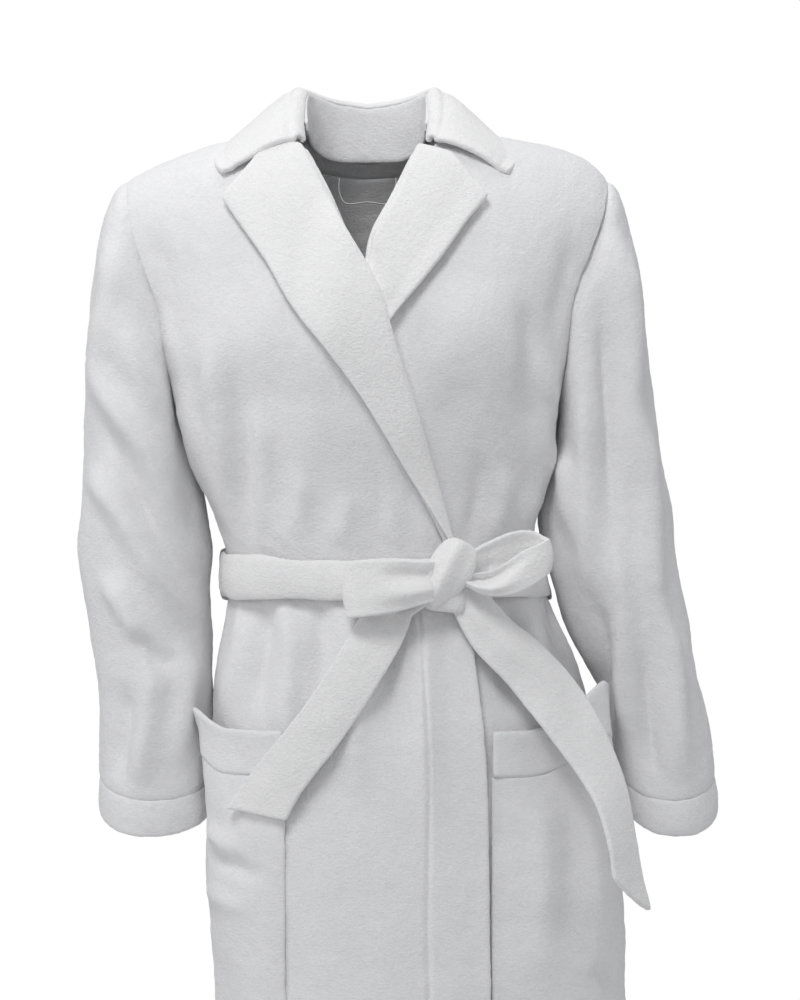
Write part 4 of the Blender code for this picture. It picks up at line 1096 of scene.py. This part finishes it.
class ROBE_OT_sleeves(bpy.types.Operator):
    """Adds the sleeves and their turned hems"""
    bl_idname = "robe.sleeves"
    bl_label = "Sleeves and cuffs"

    def execute(self, context):
        robe, look = context.scene.robe, finishes()
        for name, side, lower in (("right", -1, RIGHT_SLEEVE), ("left", 1, LEFT_SLEEVE)):
            body = name + "_sleeve_body"
            points = sleeve_points(side, lower)
            piece = cloth(name + "_sleeve_cloth", points, robe.cloth, look["plush"], closed=True,
                          outward=points - points.mean(axis=1, keepdims=True), pile=robe.pile,
                          seed=9.0 + side)
            along = Vector((side * BEND_OUT, 0.0, BEND_DOWN))
            bent(piece, body, along * BEND_START, along * BEND_END, name + "_sleeve")
            points = cuff_points(side, lower)
            piece = cloth(name + "_cuff", points, HEM_THICKNESS, look["plush"], closed=True,
                          outward=points - points.mean(axis=1, keepdims=True), pile=robe.pile,
                          seed=11.0 + side)
            worn(piece, body, name + "_cuff_hem")
        return {"FINISHED"}


class ROBE_OT_pockets(bpy.types.Operator):
    """Adds the patch pockets and the bands round their mouths"""
    bl_idname = "robe.pockets"
    bl_label = "Pockets"

    def execute(self, context):
        robe, look = context.scene.robe, finishes()
        for name, side in (("right", -1), ("left", 1)):
            points = pocket_points(side, POCKET_END_Z, POCKET_SEAM_Z + 0.001, robe.cloth, 0.0)
            piece = cloth(name + "_pocket_bag", points, robe.cloth, look["plush"], pile=robe.pile,
                          seed=13.0)
            worn(piece, GARMENT, name + "_pocket")
            points = pocket_points(side, POCKET_SEAM_Z - 0.001, POCKET_MOUTH_Z, HEM_THICKNESS, 1.0)
            piece = cloth(name + "_pocket_hem", points, HEM_THICKNESS, look["plush"], pile=robe.pile,
                          seed=14.0)
            worn(piece, GARMENT, name + "_pocket_band")
        return {"FINISHED"}


FACING_THICKNESS = 0.0020
BELT_THICKNESS, LOOP_THICKNESS, END_THICKNESS = 0.0058, 0.0050, 0.0054
CARRIER_Y, CARRIER_WIDTH, CARRIER_THICKNESS = 0.032, 0.0140, 0.0020
# (height, how far off the side) along a carrier
CARRIER_PATH = [(-0.3410, 0.0040), (-0.3430, 0.0120), (-0.3480, 0.0148), (-0.3650, 0.0154),
                (-0.3840, 0.0148), (-0.3900, 0.0120), (-0.3920, 0.0040)]


class ROBE_OT_belt(bpy.types.Operator):
    """Adds the belt round the waist, its knot and the carriers it runs through"""
    bl_idname = "robe.belt"
    bl_label = "Belt, knot and carriers"

    def execute(self, context):
        robe, look = context.scene.robe, finishes()
        points = belt_points()
        piece = cloth("belt", points, BELT_THICKNESS, look["fluffy_plush"], "fluffy_plush", closed=True,
                      pile=robe.fluff, seed=15.0)
        worn(piece, GARMENT, "belt_band")
        shapes = []
        for points in knot_points():
            spread = np.cross(np.gradient(points, axis=0), np.gradient(points, axis=1))
            inward = np.sum(spread * (points - points.mean(axis=(0, 1)))) < 0
            mesh = grid_mesh("knot", points, True, inward)
            rough = bpy.data.objects.new("knot_rough", mesh)
            context.scene.collection.objects.link(rough)
            rough.modifiers.new("rounding", "SUBSURF").levels = 2
            shapes.append(evaluated(rough, "knot"))
        done = joined(shapes, "knot")
        raise_pile(done, robe.fluff, 16.0, FINE_LUMPS)
        piece = linked("knot", done, look["fluffy_plush"])
        worn(piece, GARMENT, "belt_knot")
        for name, side in (("right", -1), ("left", 1)):
            path = [(float(eased(z, CENTRE) + side * (0.9706 * eased(z, HALF_WIDTH) + off)), CARRIER_Y, z)
                    for z, off in CARRIER_PATH]
            points = ribbon_points(path, (-0.30 * side, 1, 0), CARRIER_WIDTH)
            piece = cloth(name + "_carrier", points, CARRIER_THICKNESS, look["plush"],
                          outward=np.array([side, 0.0, 0.0]) + 0 * points, pile=0.0002, seed=17.0)
            worn(piece, GARMENT, name + "_belt_carrier")
        return {"FINISHED"}


# Each loop: name, x at the knot, x at the far end, the edges of its two layers, plumpness, seed
BOW_LOOPS = [
    ("right", 0.062, -0.0165, ([(0, -0.352), (0.4, -0.3490), (1, -0.3500)],
                               [(0, -0.386), (0.4, -0.3950), (1, -0.4010)],
                               [(0, -0.350), (0.4, -0.3470), (1, -0.3500)],
                               [(0, -0.386), (0.4, -0.3960), (1, -0.4010)]), 0.0085, 1.0),
    ("left", 0.0880, 0.1650, ([(0, -0.3630), (0.35, -0.3572), (0.68, -0.3412), (1, -0.3310)],
                              [(0, -0.3730), (0.26, -0.3820), (0.58, -0.3798), (1, -0.3630)],
                              [(0, -0.3440), (0.5, -0.3254), (0.8, -0.3228), (1, -0.3290)],
                              [(0, -0.3700), (0.5, -0.3760), (0.8, -0.3690), (1, -0.3630)]), 0.0125, 2.0)]
# Each end: name, (x, height) line, widths along it, twist, the least and greatest x of what it
# lies on, distance off the body form at its top and tip, rounding and slant of its tip
BELT_ENDS = [
    ("right", [(0.0700, -0.3660), (0.0450, -0.3760), (0.0268, -0.3870), (0.0152, -0.4100),
               (-0.0066, -0.4465), (-0.0428, -0.5011), (-0.0629, -0.5260), (-0.0883, -0.5606),
               (-0.0990, -0.5790)],
     [0.030, 0.040, 0.046, 0.046, 0.046, 0.046, 0.047, 0.052], [(0, 0), (0.5, 4), (1, 0)],
     (-0.112, 0.2), (0.0265, 0.0250), 0.0, 0.0105),
    ("left", [(0.0850, -0.3690), (0.0950, -0.3860), (0.1139, -0.4142), (0.1459, -0.4450),
              (0.1767, -0.4812), (0.2026, -0.5207), (0.2206, -0.5568), (0.2320, -0.6040),
              (0.2360, -0.6300), (0.2410, -0.6520)],
     [0.030, 0.040, 0.046, 0.050, 0.050, 0.048, 0.047, 0.046, 0.044],
     [(0, 0), (0.35, 3), (0.6, 34), (0.8, 54), (1, 52)], (-0.1, 0.184), (0.0285, 0.0240), 0.005,
     -0.020)]


class ROBE_OT_bow(bpy.types.Operator):
    """Adds the bow's two loops and the belt's two hanging ends"""
    bl_idname = "robe.bow"
    bl_label = "Bow loops and ends"

    def execute(self, context):
        robe, look = context.scene.robe, finishes()
        for name, near, far, edges, plump, seed in BOW_LOOPS:
            points = loop_points(near, far, *edges, plump, seed)
            away = points - points.mean(axis=1, keepdims=True)
            piece = cloth(f"{name}_bow_loop", points, LOOP_THICKNESS, look["fluffy_plush"],
                          "fluffy_plush", closed=True, outward=away * (1, 1, 0),
                          pile=robe.fluff * 0.8, seed=18.0 + seed)
            middle = points.mean(axis=(0, 1))
            bent(piece, f"{name}_loop_body", (near, middle[1], middle[2]),
                 (near + 0.4 * (far - near), middle[1], middle[2]), f"belt_{name}_bow_loop")
        for name, line, widths, twist, held_in, drop, tip, slant in BELT_ENDS:
            points = tail_points(line, widths, twist, held_in, drop, 20.0, tip, slant)
            outward = np.array([0.0, -1.0, 0.0]) + 0 * points
            piece = cloth(f"{name}_belt_end", points, END_THICKNESS, look["fluffy_plush"],
                          "fluffy_plush", outward=outward, pile=robe.fluff, seed=21.0)
            top = points[:, 6]
            bent(piece, f"{name}_tail_body", top[12], top[24], f"belt_{name}_tail")
        return {"FINISHED"}


class ROBE_OT_hanging_loop(bpy.types.Operator):
    """Adds the ribbon loop under the back neck"""
    bl_idname = "robe.hanging_loop"
    bl_label = "Hanging loop"

    def execute(self, context):
        path = [(-0.0275, 0.042, 0.012), (-0.0277, 0.042, -0.001), (-0.0235, 0.042, -0.0112),
                (0.0, 0.042, -0.0118), (0.0235, 0.042, -0.0112), (0.0277, 0.042, -0.001),
                (0.0275, 0.042, 0.012)]
        points = ribbon_points(path, (0, 1, 0), 0.0052)
        look = finishes()
        piece = cloth("hanging_loop_ribbon", points, 0.0012, look["ribbon"], "ribbon",
                      outward=np.array([0, 0, -1.0]) + 0 * points, pile=0.00005, seed=22.0)
        worn(piece, "hanging_loop_body", "hanging_loop")
        return {"FINISHED"}


FLOOR_CORNERS = [(-3, -3), (3, -3), (3, 2.6), (-3, 2.6)]
# (name, place, size in metres, power in watts)
LIGHTS = [("front light", (-0.6, -1.75, 1.75), 0.9, 30.5), ("left light", (-2.3, -0.9, 0.3), 1.0, 8.0),
          ("right light", (2.4, -0.5, 0.4), 1.0, 5.0), ("top light", (0.1, 0.4, 2.3), 1.2, 14.0)]
ROOM_LIGHT = 0.372


class ROBE_OT_stage(bpy.types.Operator):
    """Adds the floor, the lights, the pale room and the camera"""
    bl_idname = "robe.stage"
    bl_label = "Stage"

    def execute(self, context):
        robe, scene = context.scene.robe, context.scene
        mesh = bpy.data.meshes.new("floor")
        floor_z = HEM_Z - robe.floor_drop
        mesh.from_pydata([(x, y, floor_z) for x, y in FLOOR_CORNERS], [], [(0, 1, 2, 3)])
        floor = bpy.data.objects.new("floor", mesh)
        scene.collection.objects.link(floor)
        finish = bpy.data.materials.new("floor")
        finish.use_nodes = True
        finish.node_tree.nodes["Principled BSDF"].inputs["Base Color"].default_value = (0.82, 0.82, 0.82, 1)
        finish.node_tree.nodes["Principled BSDF"].inputs["Roughness"].default_value = 0.8
        mesh.materials.append(finish)
        aim = Vector((0.03, 0.0, -0.40))
        for name, place, size, power in LIGHTS:
            lamp = bpy.data.lights.new(name, "AREA")
            lamp.size = size
            lamp.energy = power
            holder = bpy.data.objects.new(name, lamp)
            holder.location = place
            holder.rotation_euler = (aim - Vector(place)).to_track_quat("-Z", "Y").to_euler()
            scene.collection.objects.link(holder)
        world = bpy.data.worlds.new("room")
        scene.world = world
        world.use_nodes = True
        nodes, link = world.node_tree.nodes, world.node_tree.links.new
        seen, lit = nodes["Background"], nodes.new("ShaderNodeBackground")
        seen.inputs["Color"].default_value = (1, 1, 1, 1)
        seen.inputs["Strength"].default_value = 1.0
        lit.inputs["Color"].default_value = (0.97, 0.98, 1.0, 1)
        lit.inputs["Strength"].default_value = ROOM_LIGHT
        rays, either = nodes.new("ShaderNodeLightPath"), nodes.new("ShaderNodeMixShader")
        link(rays.outputs["Is Camera Ray"], either.inputs["Fac"])
        link(lit.outputs["Background"], either.inputs[1])
        link(seen.outputs["Background"], either.inputs[2])
        link(either.outputs["Shader"], nodes["World Output"].inputs["Surface"])
        lens = bpy.data.cameras.new("camera")
        lens.lens = robe.camera_lens
        lens.sensor_width = 36.0
        camera = bpy.data.objects.new("camera", lens)
        camera.location = robe.camera_place
        camera.rotation_euler = (math.pi / 2, 0.0, 0.0)
        scene.collection.objects.link(camera)
        scene.camera = camera
        scene.view_settings.view_transform = "Standard"
        return {"FINISHED"}


OPERATORS = (ROBE_OT_back, ROBE_OT_fronts, ROBE_OT_lapels, ROBE_OT_collar, ROBE_OT_sleeves,
             ROBE_OT_pockets, ROBE_OT_belt, ROBE_OT_bow, ROBE_OT_hanging_loop, ROBE_OT_stage)


class ROBE_PT_pieces(bpy.types.Panel):
    """The robe's settings and one button for each group of pieces"""
    bl_label = "Plush Bathrobe"
    bl_idname = "ROBE_PT_pieces"
    bl_space_type = "VIEW_3D"
    bl_region_type = "UI"
    bl_category = "Robe"

    def draw(self, context):
        robe = context.scene.robe
        for name in RobeSettings.__annotations__:
            self.layout.prop(robe, name)
        for operator in OPERATORS:
            self.layout.operator(operator.bl_idname)


def register():
    for kind in (RobeSettings, *OPERATORS, ROBE_PT_pieces):
        bpy.utils.register_class(kind)
    bpy.types.Scene.robe = PointerProperty(type=RobeSettings)


def unregister():
    del bpy.types.Scene.robe
    for kind in reversed((RobeSettings, *OPERATORS, ROBE_PT_pieces)):
        bpy.utils.unregister_class(kind)


def main():
    register()
    for operator in OPERATORS:
        group, name = operator.bl_idname.split(".")
        done = getattr(getattr(bpy.ops, group), name)()
        if done != {"FINISHED"}:
            raise RuntimeError(f"{operator.bl_idname} didn't finish")


if __name__ == "__main__":
    main()
